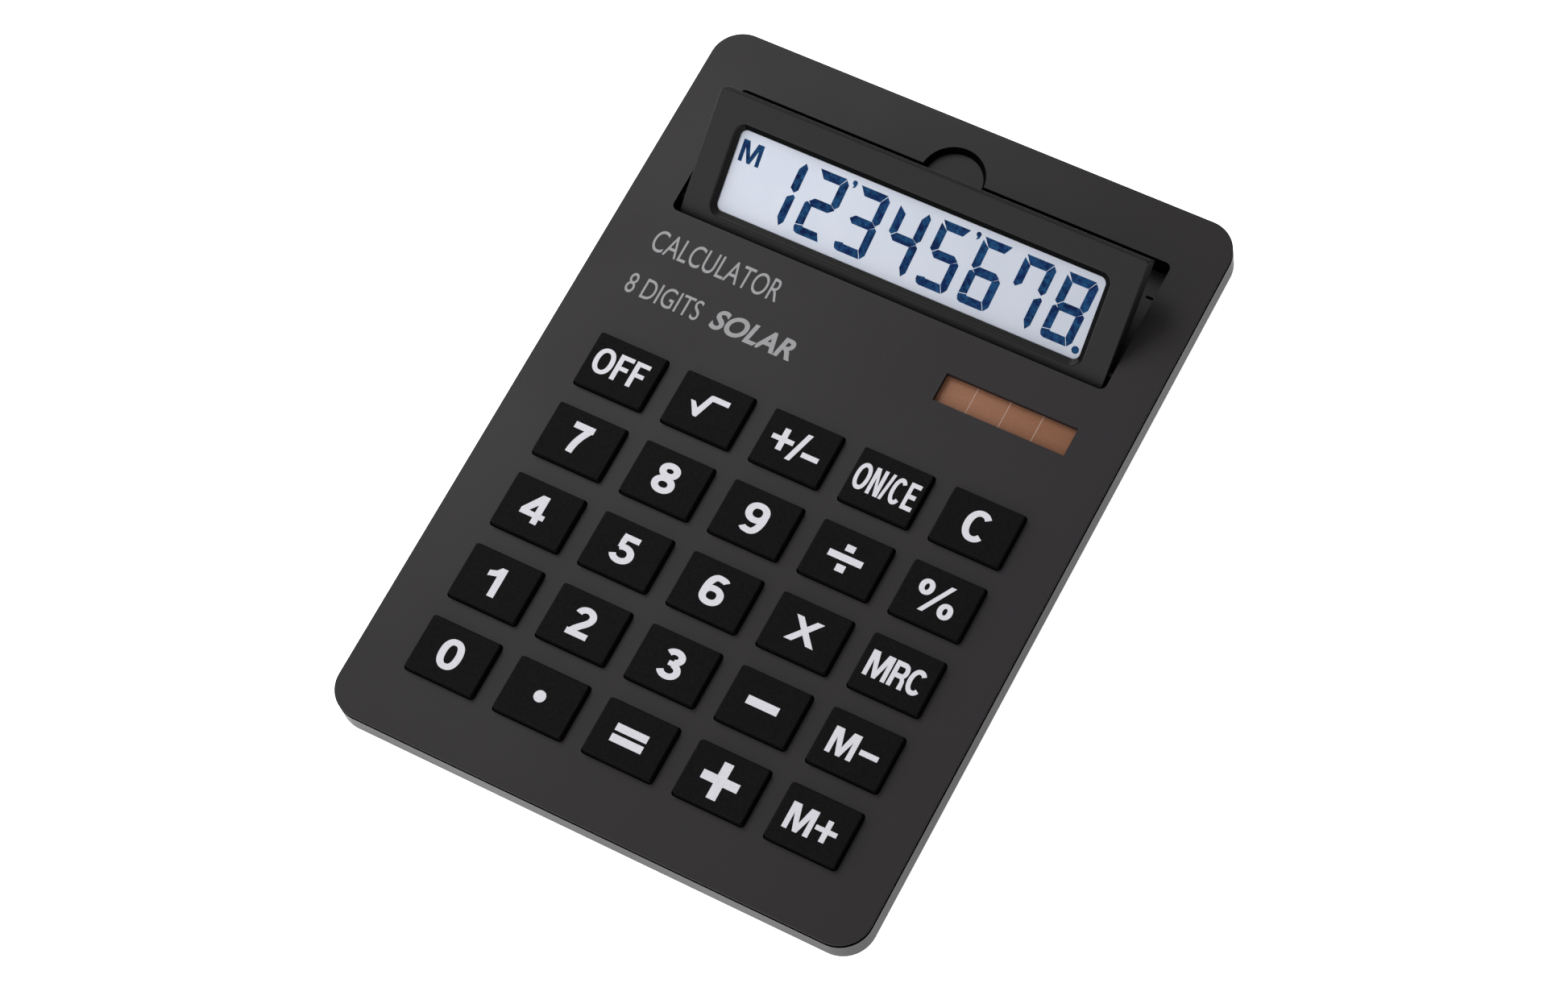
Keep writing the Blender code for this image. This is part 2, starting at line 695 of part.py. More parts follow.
def make_button_cell():
    profile = (
        (CELL_RADIUS, CELL_LOW),
        (CELL_RADIUS, CELL_HIGH - CELL_CAP_HEIGHT),
        (CELL_RADIUS - CELL_CAP_INSET, CELL_HIGH - CELL_CAP_HEIGHT),
        (CELL_RADIUS - CELL_CAP_INSET, CELL_HIGH),
    )
    add_mesh("button_cell", turned(CELL_X, CELL_Y, profile, CELL_SIDES), steel())

    # A leaf spring over the cell's cap, and a blade against its side.
    nickel = material("nickel_spring", (0.70, 0.68, 0.62), 0.25, 1.0)
    seat = BOARD_TOP + GAP
    lift = CELL_HIGH + GAP
    outline = (
        (CONTACT_FRONT, seat),
        (35.0, seat),
        (37.4, lift),
        (CELL_Y + CONTACT_REACH, lift),
        (CELL_Y + CONTACT_REACH, lift + CONTACT_THICKNESS),
        (37.2, lift + CONTACT_THICKNESS),
        (34.8, seat + CONTACT_THICKNESS),
        (CONTACT_FRONT, seat + CONTACT_THICKNESS),
    )
    leaf = profile_along_x(outline, CELL_X - CONTACT_HALF_X, CELL_X + CONTACT_HALF_X)
    add_mesh("battery_contact_minus", leaf, nickel)
    side = CELL_X + CELL_RADIUS + GAP
    high = (side + CONTACT_REACH, CELL_Y - CONTACT_REACH, seat + CONTACT_THICKNESS)
    contact = add_mesh("battery_contact_plus", block((side, CONTACT_FRONT, seat), high), nickel)
    low = (side, CELL_Y - BLADE_FRONT, BLADE_LOW)
    high = (side + CONTACT_THICKNESS, CELL_Y + CONTACT_REACH, seat + CONTACT_THICKNESS)
    combine(contact, "UNION", block(low, high))


def make_battery_cover():
    """A coin-slotted disc with a cup for the cell and two bayonet lugs above the case floor."""
    axis = axis_empty("battery_cover_axis", (CELL_X, CELL_Y, 0.0))
    cup_outer = COVER_RADIUS - COVER_GAP
    cup_top = FLOOR + CUP_WALL_HEIGHT
    cup_floor = CELL_LOW - GAP
    profile = (
        (CELL_RADIUS + GAP, cup_floor),
        (CELL_RADIUS + GAP, cup_top),
        (cup_outer, cup_top),
        (cup_outer, cup_floor),
        (COVER_RADIUS, cup_floor),
        (COVER_RADIUS, CASE_BOTTOM),
    )
    disc = turned(0.0, 0.0, profile, ROUND_SIDES)
    cover = add_mesh("battery_cover", disc, charcoal(), parent=axis)
    lugs = None
    for start in (0.0, 180.0):
        spread = []
        for step in range(LUG_STEPS + 1):
            degrees = start + LUG_DEGREES * (step / LUG_STEPS - 0.5)
            spread.append(math.radians(degrees))
        inner = cup_outer - LUG_INTO
        outline = [(LUG_RADIUS * math.cos(a), LUG_RADIUS * math.sin(a)) for a in spread]
        outline += [(inner * math.cos(a), inner * math.sin(a)) for a in reversed(spread)]
        rings = [[(x, y, z) for x, y in outline] for z in (FLOOR + GAP, cup_top)]
        lugs = loft(rings, lugs)
    combine(cover, "UNION", lugs)
    low = (-COIN_SLOT_HALF_X, -COIN_SLOT_HALF_Y, CASE_BOTTOM - PAST)
    high = (COIN_SLOT_HALF_X, COIN_SLOT_HALF_Y, CASE_BOTTOM + COIN_SLOT_DEPTH)
    combine(cover, "DIFFERENCE", block(low, high))


def make_screws_and_feet():
    profile = (
        (HEAD_RADIUS, HEAD_LOW),
        (HEAD_RADIUS, HEAD_HIGH),
        (SHAFT_RADIUS, HEAD_HIGH),
        (SHAFT_RADIUS, SHAFT_TIP),
    )
    for name, x, y in case_screws():
        add_mesh(name, turned(x, y, profile), steel())
    rubber = material("foot_rubber", (0.02, 0.02, 0.02), 0.85)
    profile = (
        (FOOT_RADIUS - FOOT_CHAMFER, 0.0),
        (FOOT_RADIUS, FOOT_CHAMFER),
        (FOOT_RADIUS, CASE_BOTTOM + FOOT_SINK),
    )
    for name, x, y in feet():
        add_mesh(name, turned(x, y, profile, 16), rubber)


def make_display_bezel(hinge):
    half_x = MODULE_WIDTH / 2.0
    half_y = (MODULE_BACK - MODULE_FRONT) / 2.0
    middle = (0.0, (MODULE_BACK + MODULE_FRONT) / 2.0)
    inner_x = half_x - MODULE_WALL
    inner_y = half_y - MODULE_WALL
    window_x = WINDOW_WIDTH / 2.0
    window_y = (WINDOW_BACK - WINDOW_FRONT) / 2.0
    window_middle = (0.0, (WINDOW_BACK + WINDOW_FRONT) / 2.0)
    steps = MODULE_CORNER_STEPS

    def window_ring(outset, z):
        corner = WINDOW_CORNER + outset
        return ring(window_x + outset, window_y + outset, corner, z, window_middle, steps)

    rings = [
        window_ring(0.0, MODULE_CEILING),
        ring(inner_x, inner_y, MODULE_INNER_CORNER, MODULE_CEILING, middle, steps),
        ring(inner_x, inner_y, MODULE_INNER_CORNER, SHELL_BOTTOM, middle, steps),
        ring(half_x, half_y, MODULE_CORNER, SHELL_BOTTOM, middle, steps),
    ]
    rings += fillet_rings(half_x, half_y, MODULE_CORNER, MODULE_FACE, MODULE_FILLET, middle, steps)
    rings.append(window_ring(WINDOW_BEVEL, MODULE_FACE))
    rings.append(window_ring(WINDOW_BEVEL * SHOULDER_SHARE, MODULE_FACE - SHOULDER_DEPTH))
    bezel = add_mesh("display_bezel", loft(rings, closed=True), bezel_grey(), parent=hinge)

    bosses = None
    holes = None
    for side in (-1, 1):
        screw_x = side * MODULE_SCREW_X
        low_x, high_x = side_span(side, PIN_BOSS_INNER_X, inner_x + INTO)
        low = (low_x, -PIN_BOSS_HALF, SHELL_BOTTOM)
        high = (high_x, PIN_BOSS_HALF, MODULE_CEILING + INTO)
        bosses = block(low, high, bosses)
        reach = MODULE_CEILING + INTO
        bosses = post(screw_x, MODULE_SCREW_Y, SHELL_BOTTOM, reach, MODULE_POST_RADIUS, bosses, 12)
        low_x, high_x = side_span(side, PIN_BOSS_INNER_X - PAST, half_x + PAST)
        holes = rod_along_x(low_x, high_x, 0.0, 0.0, PIN_RADIUS + PIN_PRESS_GAP, holes)
        bore = (SHELL_BOTTOM - PAST, MODULE_BORE_TOP, MODULE_BORE_RADIUS)
        holes = post(screw_x, MODULE_SCREW_Y, *bore, holes, 8)
    combine(bezel, "UNION", bosses)
    combine(bezel, "DIFFERENCE", holes)


def make_display_back_cover(hinge):
    plate_top = SHELL_BOTTOM - GAP
    front = [(MODULE_FRONT + y, z) for y, z in BACK_COVER_FRONT]
    back = [(MODULE_BACK + y, z) for y, z in BACK_COVER_BACK]
    outline = [(front[0][0], plate_top), *front, *back, (MODULE_BACK, plate_top)]
    half_x = MODULE_WIDTH / 2.0
    cover = add_mesh(
        "display_back_cover", profile_along_x(outline, -half_x, half_x), bezel_grey(), parent=hinge
    )
    # Slot where the flat cable enters the module, and the screws' recesses.
    low = (CABLE_SLOT_X[0], 2.0, MODULE_BOTTOM - PAST)
    high = (CABLE_SLOT_X[1], 5.4, plate_top + PAST)
    recesses = block(low, high)
    bores = None
    for side in (-1, 1):
        x = side * MODULE_SCREW_X
        recess = (MODULE_BOTTOM - PAST, MODULE_RECESS_TOP, MODULE_RECESS_RADIUS)
        recesses = post(x, MODULE_SCREW_Y, *recess, recesses, 12)
        bore = (MODULE_RECESS_TOP - INTO, plate_top + PAST, MODULE_BORE_RADIUS)
        bores = post(x, MODULE_SCREW_Y, *bore, bores, 8)
    combine(cover, "DIFFERENCE", recesses)
    combine(cover, "DIFFERENCE", bores)


def make_display_insides(hinge):
    glass = material("lcd_glass", (0.66, 0.72, 0.83), 0.2)
    panel = block((-LCD_HALF_X, LCD_FRONT, 0.0), (LCD_HALF_X, LCD_BACK, MODULE_CEILING - GAP))
    add_mesh("lcd_panel", panel, glass, parent=hinge)
    pink = material("elastomer", (0.75, 0.45, 0.45), 0.7)
    strip = block((-STRIP_HALF_X, STRIP_FRONT, STRIP_BOTTOM), (STRIP_HALF_X, STRIP_BACK, -GAP))
    add_mesh("lcd_contact_strip", strip, pink, parent=hinge)
    low = (-DISPLAY_BOARD_HALF_X, DISPLAY_BOARD_FRONT, DISPLAY_BOARD_TOP - BOARD_THICKNESS)
    high = (DISPLAY_BOARD_HALF_X, DISPLAY_BOARD_BACK, DISPLAY_BOARD_TOP)
    add_mesh("display_board", block(low, high), board_green(), parent=hinge)

    profile = (
        (2.0, MODULE_BOTTOM + 0.1),
        (2.0, MODULE_RECESS_TOP - GAP),
        (0.8, MODULE_RECESS_TOP - GAP),
        (0.8, MODULE_BORE_TOP - GAP),
    )
    for side, name in ((-1, "left"), (1, "right")):
        low_x, high_x = side_span(side, PIN_INNER_X, PIN_OUTER_X)
        pin = rod_along_x(low_x, high_x, 0.0, 0.0, PIN_RADIUS)
        add_mesh(f"display_hinge_pin_{name}", pin, steel(), parent=hinge)
        screw = turned(side * MODULE_SCREW_X, MODULE_SCREW_Y, profile)
        add_mesh(f"display_screw_{name}", screw, steel(), parent=hinge)


def make_friction_clip():
    """A split ring, open at the top, that grips the right hinge pin outside the recess."""
    outline = []
    for radius, turn in ((CLIP_OUTER, 1), (CLIP_INNER, -1)):
        for step in range(CLIP_STEPS + 1):
            sweep = CLIP_SWEEP * (2.0 * step / CLIP_STEPS - 1.0)
            angle = math.radians(90.0 + turn * sweep)
            y = HINGE_Y + radius * math.cos(angle)
            outline.append((y, HINGE_Z - radius * math.sin(angle)))
    add_mesh("tilt_friction_clip", profile_along_x(outline, *CLIP_X), steel())


def make_display_cable():
    """A flat cable from the main board through the recess's front wall and into the module."""
    tilt = math.radians(TILT_DEGREES)
    seat = BOARD_TOP + GAP

    def in_module(y, z):
        return (
            HINGE_Y + y * math.cos(tilt) - z * math.sin(tilt),
            HINGE_Z + y * math.sin(tilt) + z * math.cos(tilt),
        )

    middle = [
        (28.0, seat + 0.2),
        (60.0, seat + 0.2),
        (72.0, seat),
        (75.8, 5.4),
        (80.0, 5.4),
        in_module(1.4, -4.9),
        in_module(3.4, -4.0),
        in_module(4.4, -2.6),
        in_module(7.0, -1.8),
        in_module(23.4, -1.8),
    ]
    upper = []
    lower = []
    for i, (y, z) in enumerate(middle):
        before = middle[max(i - 1, 0)]
        after = middle[min(i + 1, len(middle) - 1)]
        run = math.hypot(after[0] - before[0], after[1] - before[1])
        normal_y = -(after[1] - before[1]) / run
        normal_z = (after[0] - before[0]) / run
        upper.append((y + FILM_HALF * normal_y, z + FILM_HALF * normal_z))
        lower.append((y - FILM_HALF * normal_y, z - FILM_HALF * normal_z))
    outline = lower + list(reversed(upper))
    film = material("cable_film", (0.55, 0.33, 0.10), 0.4)
    add_mesh("display_cable", profile_along_x(outline, *FILM_X), film)


def main():
    clear_scene()
    make_top_cover()
    make_bottom_case()
    make_keys()
    make_key_mat()
    make_circuit_board()
    make_solar_cell()
    make_button_cell()
    make_battery_cover()
    make_screws_and_feet()
    hinge = axis_empty("display_hinge_axis", (0.0, HINGE_Y, HINGE_Z), TILT_DEGREES)
    make_display_bezel(hinge)
    make_display_back_cover(hinge)
    make_display_insides(hinge)
    make_friction_clip()
    make_display_cable()


main()
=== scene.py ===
"""Looks of the desk calculator: fine shells, keys with printed legends, and the display with its digits.

Lengths are in millimetres unless a comment says otherwise, and meshes become metres as they are made.
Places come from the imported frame: node boxes and the joints' positions.
"""

import json
import math

import bmesh
import bpy
from mathutils import Matrix, Vector


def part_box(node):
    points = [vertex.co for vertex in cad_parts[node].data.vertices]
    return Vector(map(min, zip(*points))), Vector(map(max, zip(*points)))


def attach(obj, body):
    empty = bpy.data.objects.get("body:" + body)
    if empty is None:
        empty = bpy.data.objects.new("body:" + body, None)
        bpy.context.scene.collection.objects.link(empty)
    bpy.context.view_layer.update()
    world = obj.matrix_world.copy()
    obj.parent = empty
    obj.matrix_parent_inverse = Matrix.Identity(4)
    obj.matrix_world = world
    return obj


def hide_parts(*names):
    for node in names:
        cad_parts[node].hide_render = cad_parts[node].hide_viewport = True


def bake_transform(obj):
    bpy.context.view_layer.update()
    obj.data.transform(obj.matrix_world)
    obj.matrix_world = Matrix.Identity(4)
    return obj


MM = 0.001

# Camera, in metres and degrees. Azimuth 0 looks along +Y, and grows towards the right-hand side.
CAMERA_TARGET = (0.00384, -0.00991, 0.015)
CAMERA_DISTANCE = 1.4169
CAMERA_AZIMUTH = 43.781
CAMERA_ELEVATION = 64.766
CAMERA_ROLL = -17.045
CAMERA_LENS = 93.36
CAMERA_SENSOR = 36.0

# Shells.
WALL = 2.0
COVER_THICKNESS = 2.0
COVER_RIM = 0.4
RIM_GAP = 0.4
CASE_CORNER = 12.0
TOP_FILLET = 0.3
SEAM_GROOVE = 0.8
BOTTOM_FILLET = 2.4
EDGE_ROUNDING = 0.22
FINE_ROUNDING = 0.2
GAP = 0.3

# How finely round shapes are divided, and how far cutters and joined shells reach past a face.
CORNER_STEPS = 16
FILLET_STEPS = 6
ROUND_SIDES = 96
SMALL_SIDES = 32
HOLE_SIDES = 16
INTO = 0.5
PAST = 1.0

# Bosses and posts for the case screws, the feet and the battery cover.
BOSS_RISE = 0.8
BOSS_BOTTOM = 9.4
BOSS_RADIUS = 3.2
PILOT_RADIUS = 1.35
HINGE_BOSS = 4.0
POST_TOP = 9.1
POST_RADIUS = 3.8
SCREW_HEAD_HOLE = 2.9
SCREW_HOLE = 1.5
FOOT_RADIUS = 5.0
COVER_RADIUS = 9.5
WELL_TOP = 6.0
LUG_HALF_ANGLE = 18.0

# Keys.
KEY_FLANGE = 1.5
KEY_DRAFT = 0.15
KEY_HOLE_GAP = 0.5
KEY_CORNER = 0.9
KEY_EDGE = 0.45
KEY_SHELL = 1.4
KEY_CORNER_STEPS = 5

# Recess, finger notch and solar window.
RECESS_WIDTH = 174.4
RECESS_FRONT = 72.3
RECESS_BACK = 126.6
RECESS_CORNER = 2.5
RECESS_STEPS = 8
RECESS_FLOOR = 4.8
RECESS_WALL = 1.8
RECESS_SKIN = 1.2
NOTCH_Y = 125.6
NOTCH_TOP_RADIUS = 12.3
NOTCH_FLOOR_RADIUS = 11.0
NOTCH_DEPTH = 3.0
NOTCH_WALL = 1.4
CABLE_SLOT_X = (-31.0, -19.0)
CABLE_SLOT_Z = (5.6, 7.4)
DRAIN_SLOT_X = (81.6, 84.4)
DRAIN_SLOT_Y = (115.4, 116.4)
SOLAR_LAP = 1.4
SOLAR_STRIPS = 4
SOLAR_LINE = 0.22
FILM_THICKNESS = 0.24

# Display module, in its own axes: origin on the hinge, Y up the face, Z out of the face.
MODULE_FRONT = -5.46
MODULE_BACK = 42.64
MODULE_FACE = 4.0
MODULE_BOTTOM = -4.0
MODULE_CORNER = 1.3
MODULE_FILLET = 0.3
MODULE_WALL = 1.8
MODULE_CEILING = 2.0
SHELL_BOTTOM = -2.3
WINDOW_HALF_X = 73.1
WINDOW_FRONT = 0.24
WINDOW_BACK = 31.24
WINDOW_CORNER = 2.6
WINDOW_EDGE = 2.5
WINDOW_ROUNDING = 1.2
WINDOW_SLOPE = 45.0
MODULE_SCREW = (80.0, 37.8)

# Digits, in the module's axes. A segment's outline is measured from the digit's lower left corner, upright.
DIGIT_PITCH = 16.55
LAST_DIGIT_X = 56.4
DIGIT_Y = 3.45
DIGIT_SLANT = 0.108
SEGMENT_SPREAD = 0.13
INK = 0.02
SEGMENTS = {
    "a": ((0.3, 25.0), (10.6, 25.0), (8.9, 22.0), (2.7, 22.0)),
    "b": ((10.95, 24.5), (12.2, 23.1), (12.2, 14.6), (11.1, 13.3), (9.3, 14.6), (9.3, 21.9)),
    "c": ((11.4, 12.3), (12.2, 11.6), (12.2, 1.9), (11.0, 0.2), (9.4, 3.0), (9.4, 10.9)),
    "d": ((0.0, 2.75), (2.8, 3.2), (3.1, 2.8), (9.0, 2.8), (10.5, 0.0), (1.9, 0.0), (0.7, 0.5), (0.1, 1.7)),
    "e": ((0.8, 12.2), (2.8, 10.9), (2.8, 3.75), (0.0, 3.3), (0.0, 11.6)),
    "f": ((0.0, 23.6), (2.8, 21.5), (2.8, 14.7), (1.0, 13.1), (0.0, 13.8)),
    "g": ((1.3, 12.6), (2.9, 14.1), (9.4, 14.1), (11.2, 12.7), (9.2, 11.1), (2.7, 11.1)),
}
# The digits shown, 1 to 8, each as its lit segments.
DIGITS = ("bc", "abged", "abgcd", "fgbc", "afgcd", "afgecd", "fabc", "abcdefg")

# The floor is a light table, which keeps its shadows faint.
FLOOR_GLOW = 0.8
# Sky: brightness, its grey at two heights (0 level, 1 straight up), and its share at the low and high end of
# each axis. The left and the front are brighter.
SKY_STRENGTH = 2.4
SKY_GREYS = ((0.1, 1.0), (0.9, 0.45))
SKY_SIDES = {"X": (1.9, 0.1), "Y": (1.5, 0.05)}
# Lights: name, place in metres, diameter in metres, power in watts.
LIGHTS = (("key_light", (-0.85, 0.6, 1.15), 0.8, 13.0),)


def camera():
    """Places the camera on a sphere around the target, then rolls it about its own axis."""
    azimuth = math.radians(CAMERA_AZIMUTH)
    elevation = math.radians(CAMERA_ELEVATION)
    reach = math.cos(elevation)
    back = Vector((math.sin(azimuth) * reach, -math.cos(azimuth) * reach, math.sin(elevation)))
    data = bpy.data.cameras.new("camera")
    data.lens = CAMERA_LENS
    data.sensor_width = CAMERA_SENSOR
    made = bpy.data.objects.new("camera", data)
    level = (-back).to_track_quat("-Z", "Y").to_matrix().to_4x4()
    roll = Matrix.Rotation(math.radians(CAMERA_ROLL), 4, "Z")
    place = Matrix.Translation(Vector(CAMERA_TARGET) + back * CAMERA_DISTANCE)
    made.matrix_world = place @ level @ roll
    bpy.context.scene.collection.objects.link(made)
    bpy.context.scene.camera = made


# ---- Materials ----


class Tree:
    """A node tree, with one call that makes a node, sets its values and links its inputs."""

    def __init__(self, tree):
        self.tree = tree

    def link(self, source, target):
        self.tree.links.new(source, target)

    def node(self, kind, output, links, values):
        made = self.tree.nodes.new("ShaderNode" + kind)
        for name, value in values.items():
            made.inputs[name].default_value = value
        for name, source in links.items():
            self.link(source, made.inputs[name])
        return made.outputs[output]


class Nodes(Tree):
    """A material's node tree, with short calls for the nodes that are used here."""

    def __init__(self, name, roughness, metallic=0.0, specular=0.5):
        self.material = bpy.data.materials.new(name)
        self.material.use_nodes = True
        super().__init__(self.material.node_tree)
        self.shader = self.tree.nodes["Principled BSDF"]
        self.shader.inputs["Roughness"].default_value = roughness
        self.shader.inputs["Metallic"].default_value = metallic
        self.shader.inputs["Specular IOR Level"].default_value = specular
        self.place = self.node("TexCoord", "Object", {}, {})

    def noise(self, scale, detail=2.0, roughness=0.5, stretch=(1.0, 1.0, 1.0)):
        place = self.node("Mapping", "Vector", {"Vector": self.place}, {"Scale": stretch})
        values = {"Scale": scale, "Detail": detail, "Roughness": roughness}
        return self.node("TexNoise", "Fac", {"Vector": place}, values)

    def remap(self, value, low, high, new_low, new_high):
        values = {"From Min": low, "From Max": high, "To Min": new_low, "To Max": new_high}
        return self.node("MapRange", "Result", {"Value": value}, values)

    def between(self, value, low, high, first, second, share=1.0):
        """From the first colour to a share of the second as the value goes from low to high."""
        return self.mix(self.remap(value, low, high, 0.0, share), first, second)

    def mix(self, factor, first, second):
        """Mixes two colours, each a tuple or a socket."""
        node = self.tree.nodes.new("ShaderNodeMix")
        node.data_type = "RGBA"
        self.link(factor, node.inputs["Factor"])
        for name, colour in (("A", first), ("B", second)):
            socket = [s for s in node.inputs if s.name == name and s.type == "RGBA"][0]
            if isinstance(colour, tuple):
                socket.default_value = (*colour, 1.0)
            else:
                self.link(colour, socket)
        return [s for s in node.outputs if s.type == "RGBA"][0]

    def colour(self, socket):
        self.link(socket, self.shader.inputs["Base Color"])

    def bump(self, height, depth, strength=1.0):
        """Depth is in millimetres."""
        values = {"Strength": strength, "Distance": depth * MM}
        normal = self.node("Bump", "Normal", {"Height": height}, values)
        self.link(normal, self.shader.inputs["Normal"])


def shade(colour, factor):
    return tuple(min(channel * factor, 1.0) for channel in colour)


def moulded(name, colour, roughness, specular, grain=1800.0, spread=0.22, depth=0.02):
    """Moulded plastic: a spark-eroded grain over faint broad variation."""
    nodes = Nodes(name, roughness, specular=specular)
    fine = nodes.noise(grain, 3.0, 0.6)
    broad = nodes.noise(14.0, 2.0)
    grained = nodes.between(fine, 0.3, 0.7, shade(colour, 1.0 - spread), shade(colour, 1.0 + spread))
    nodes.colour(nodes.between(broad, 0.3, 0.7, grained, shade(colour, 1.25), 0.18))
    gloss = nodes.remap(broad, 0.3, 0.7, roughness - 0.04, roughness + 0.04)
    nodes.link(gloss, nodes.shader.inputs["Roughness"])
    nodes.bump(fine, depth, 0.6)
    return nodes.material


def printed(name, colour, roughness=0.55):
    """Screen-printed ink with faint mottling."""
    nodes = Nodes(name, roughness, specular=0.3)
    mottle = nodes.noise(900.0, 3.0)
    nodes.colour(nodes.between(mottle, 0.35, 0.65, shade(colour, 0.94), colour))
    nodes.bump(mottle, 0.004, 0.5)
    return nodes.material


def metal(name, colour, roughness):
    """Plated metal with fine drawn lines."""
    nodes = Nodes(name, roughness, metallic=1.0)
    lines = nodes.noise(700.0, 3.0, 0.6, (1.0, 1.0, 14.0))
    nodes.colour(nodes.between(lines, 0.3, 0.7, shade(colour, 0.82), colour))
    gloss = nodes.remap(lines, 0.3, 0.7, roughness - 0.06, roughness + 0.08)
    nodes.link(gloss, nodes.shader.inputs["Roughness"])
    nodes.bump(lines, 0.004, 0.5)
    return nodes.material


def lcd_face_material():
    nodes = Nodes("lcd_face", 0.42, specular=0.12)
    cloud = nodes.noise(55.0, 2.0)
    grain = nodes.noise(1500.0, 2.0)
    pale = nodes.between(cloud, 0.35, 0.65, (0.335, 0.358, 0.408), (0.355, 0.375, 0.425))
    nodes.colour(nodes.between(grain, 0.3, 0.7, pale, (0.31, 0.34, 0.40), 0.25))
    nodes.bump(grain, 0.002, 0.4)
    return nodes.material


def lcd_ink_material():
    nodes = Nodes("lcd_ink", 0.6, specular=0.03)
    mottle = nodes.noise(420.0, 4.0, 0.65)
    patch = nodes.noise(70.0, 1.0)
    dark = nodes.between(patch, 0.35, 0.65, (0.001, 0.005, 0.030), (0.002, 0.010, 0.050))
    nodes.colour(nodes.between(mottle, 0.40, 0.66, dark, (0.007, 0.042, 0.105)))
    return nodes.material


def solar_material():
    nodes = Nodes("solar_film", 0.45, specular=0.06)
    fine = nodes.noise(1200.0, 3.0)
    streak = nodes.noise(60.0, 2.0, 0.5, (1.0, 9.0, 1.0))
    base = nodes.between(fine, 0.3, 0.7, (0.165, 0.074, 0.043), (0.188, 0.088, 0.051))
    nodes.colour(nodes.between(streak, 0.35, 0.65, base, (0.180, 0.090, 0.053), 0.4))
    return nodes.material


def board_material():
    nodes = Nodes("board_green", 0.4)
    weave = nodes.noise(500.0, 2.0, 0.5, (1.0, 6.0, 1.0))
    nodes.colour(nodes.between(weave, 0.3, 0.7, (0.012, 0.085, 0.035), (0.02, 0.13, 0.06)))
    nodes.bump(weave, 0.01, 0.4)
    return nodes.material


def floor_material():
    nodes = Nodes("floor_paper", 0.9, specular=0.1)
    fine = nodes.noise(8.0, 2.0)
    nodes.colour(nodes.between(fine, 0.3, 0.7, (0.93, 0.93, 0.93), (0.95, 0.95, 0.95)))
    nodes.shader.inputs["Emission Color"].default_value = (1.0, 1.0, 1.0, 1.0)
    nodes.shader.inputs["Emission Strength"].default_value = FLOOR_GLOW
    return nodes.material


# ---- Shapes ----


def ring(half_x, half_y, corner, z, centre=(0.0, 0.0), steps=CORNER_STEPS):
    """Points of a rectangle with round corners, anticlockwise from above."""
    points = []
    corners = ((1, 1, 0), (-1, 1, 90), (-1, -1, 180), (1, -1, 270))
    for side_x, side_y, start in corners:
        turn = (centre[0] + side_x * (half_x - corner), centre[1] + side_y * (half_y - corner))
        points += [(x, y, z) for x, y in arc(turn, (corner, corner), start, start + 90.0, steps)]
    return points


def circle(radius, z, centre=(0.0, 0.0), sides=SMALL_SIDES):
    points = []
    for step in range(sides):
        angle = 2.0 * math.pi * (step + 0.5) / sides
        points.append((centre[0] + radius * math.cos(angle), centre[1] + radius * math.sin(angle), z))
    return points


def loft(rings, into=None, closed=False):
    """A body through rings of equal point counts, capped at both ends or closed into a loop."""
    shell = into or bmesh.new()
    rows = [[shell.verts.new(point) for point in points] for points in rings]
    pairs = list(zip(rows, rows[1:]))
    if closed:
        pairs.append((rows[-1], rows[0]))
    else:
        shell.faces.new(list(reversed(rows[0])))
        shell.faces.new(rows[-1])
    for lower, upper in pairs:
        count = len(lower)
        for i in range(count):
            j = (i + 1) % count
            shell.faces.new((lower[i], lower[j], upper[j], upper[i]))
    return shell


def block(low, high, into=None):
    """A box between two corners."""
    corners = ((high[0], high[1]), (low[0], high[1]), (low[0], low[1]), (high[0], low[1]))
    return loft([[(x, y, z) for x, y in corners] for z in (low[2], high[2])], into)


def slab(size, low, high, centre, steps, into=None):
    """A block with round upright corners. Size is half the width, half the depth and the corner's radius."""
    return loft([ring(*size, z, centre, steps) for z in (low, high)], into)


def post(x, y, low, high, radius, into=None, sides=SMALL_SIDES):
    return loft([circle(radius, z, (x, y), sides) for z in (low, high)], into)


def turned(x, y, profile, sides=SMALL_SIDES):
    """A round body along Z through (radius, z) points."""
    return loft([circle(radius, z, (x, y), sides) for radius, z in profile])


def rod_along_x(low_x, high_x, y, z, radius, into=None):
    rings = []
    for x in (low_x, high_x):
        rings.append([(x, y + a, z + b) for a, b, _ in circle(radius, 0.0)])
    return loft(rings, into)


def profile_along_x(points, low_x, high_x):
    """A closed (y, z) outline run along X."""
    return loft([[(x, y, z) for y, z in points] for x in (low_x, high_x)])


def fillet_rings(half_x, half_y, corner, top, radius, centre=(0.0, 0.0), steps=CORNER_STEPS):
    """Rings that round the upper edge of a block over to its top face."""
    rings = []
    for step in range(FILLET_STEPS + 1):
        angle = math.radians(90.0 * step / FILLET_STEPS)
        inset = radius * (1.0 - math.cos(angle))
        z = top - radius + radius * math.sin(angle)
        rings.append(ring(half_x - inset, half_y - inset, max(corner - inset, 0.05), z, centre, steps))
    return rings


def new_mesh(name, shell):
    bmesh.ops.recalc_face_normals(shell, faces=shell.faces)
    bmesh.ops.scale(shell, vec=(MM, MM, MM), verts=shell.verts)
    mesh = bpy.data.meshes.new(name)
    shell.to_mesh(mesh)
    shell.free()
    made = bpy.data.objects.new(name, mesh)
    bpy.context.scene.collection.objects.link(made)
    return made


def finish_mesh(piece, finish, angle=35.0):
    piece.data.materials.clear()
    piece.data.materials.append(finish)
    piece.data.shade_smooth()
    piece.data.set_sharp_from_angle(angle=math.radians(angle))


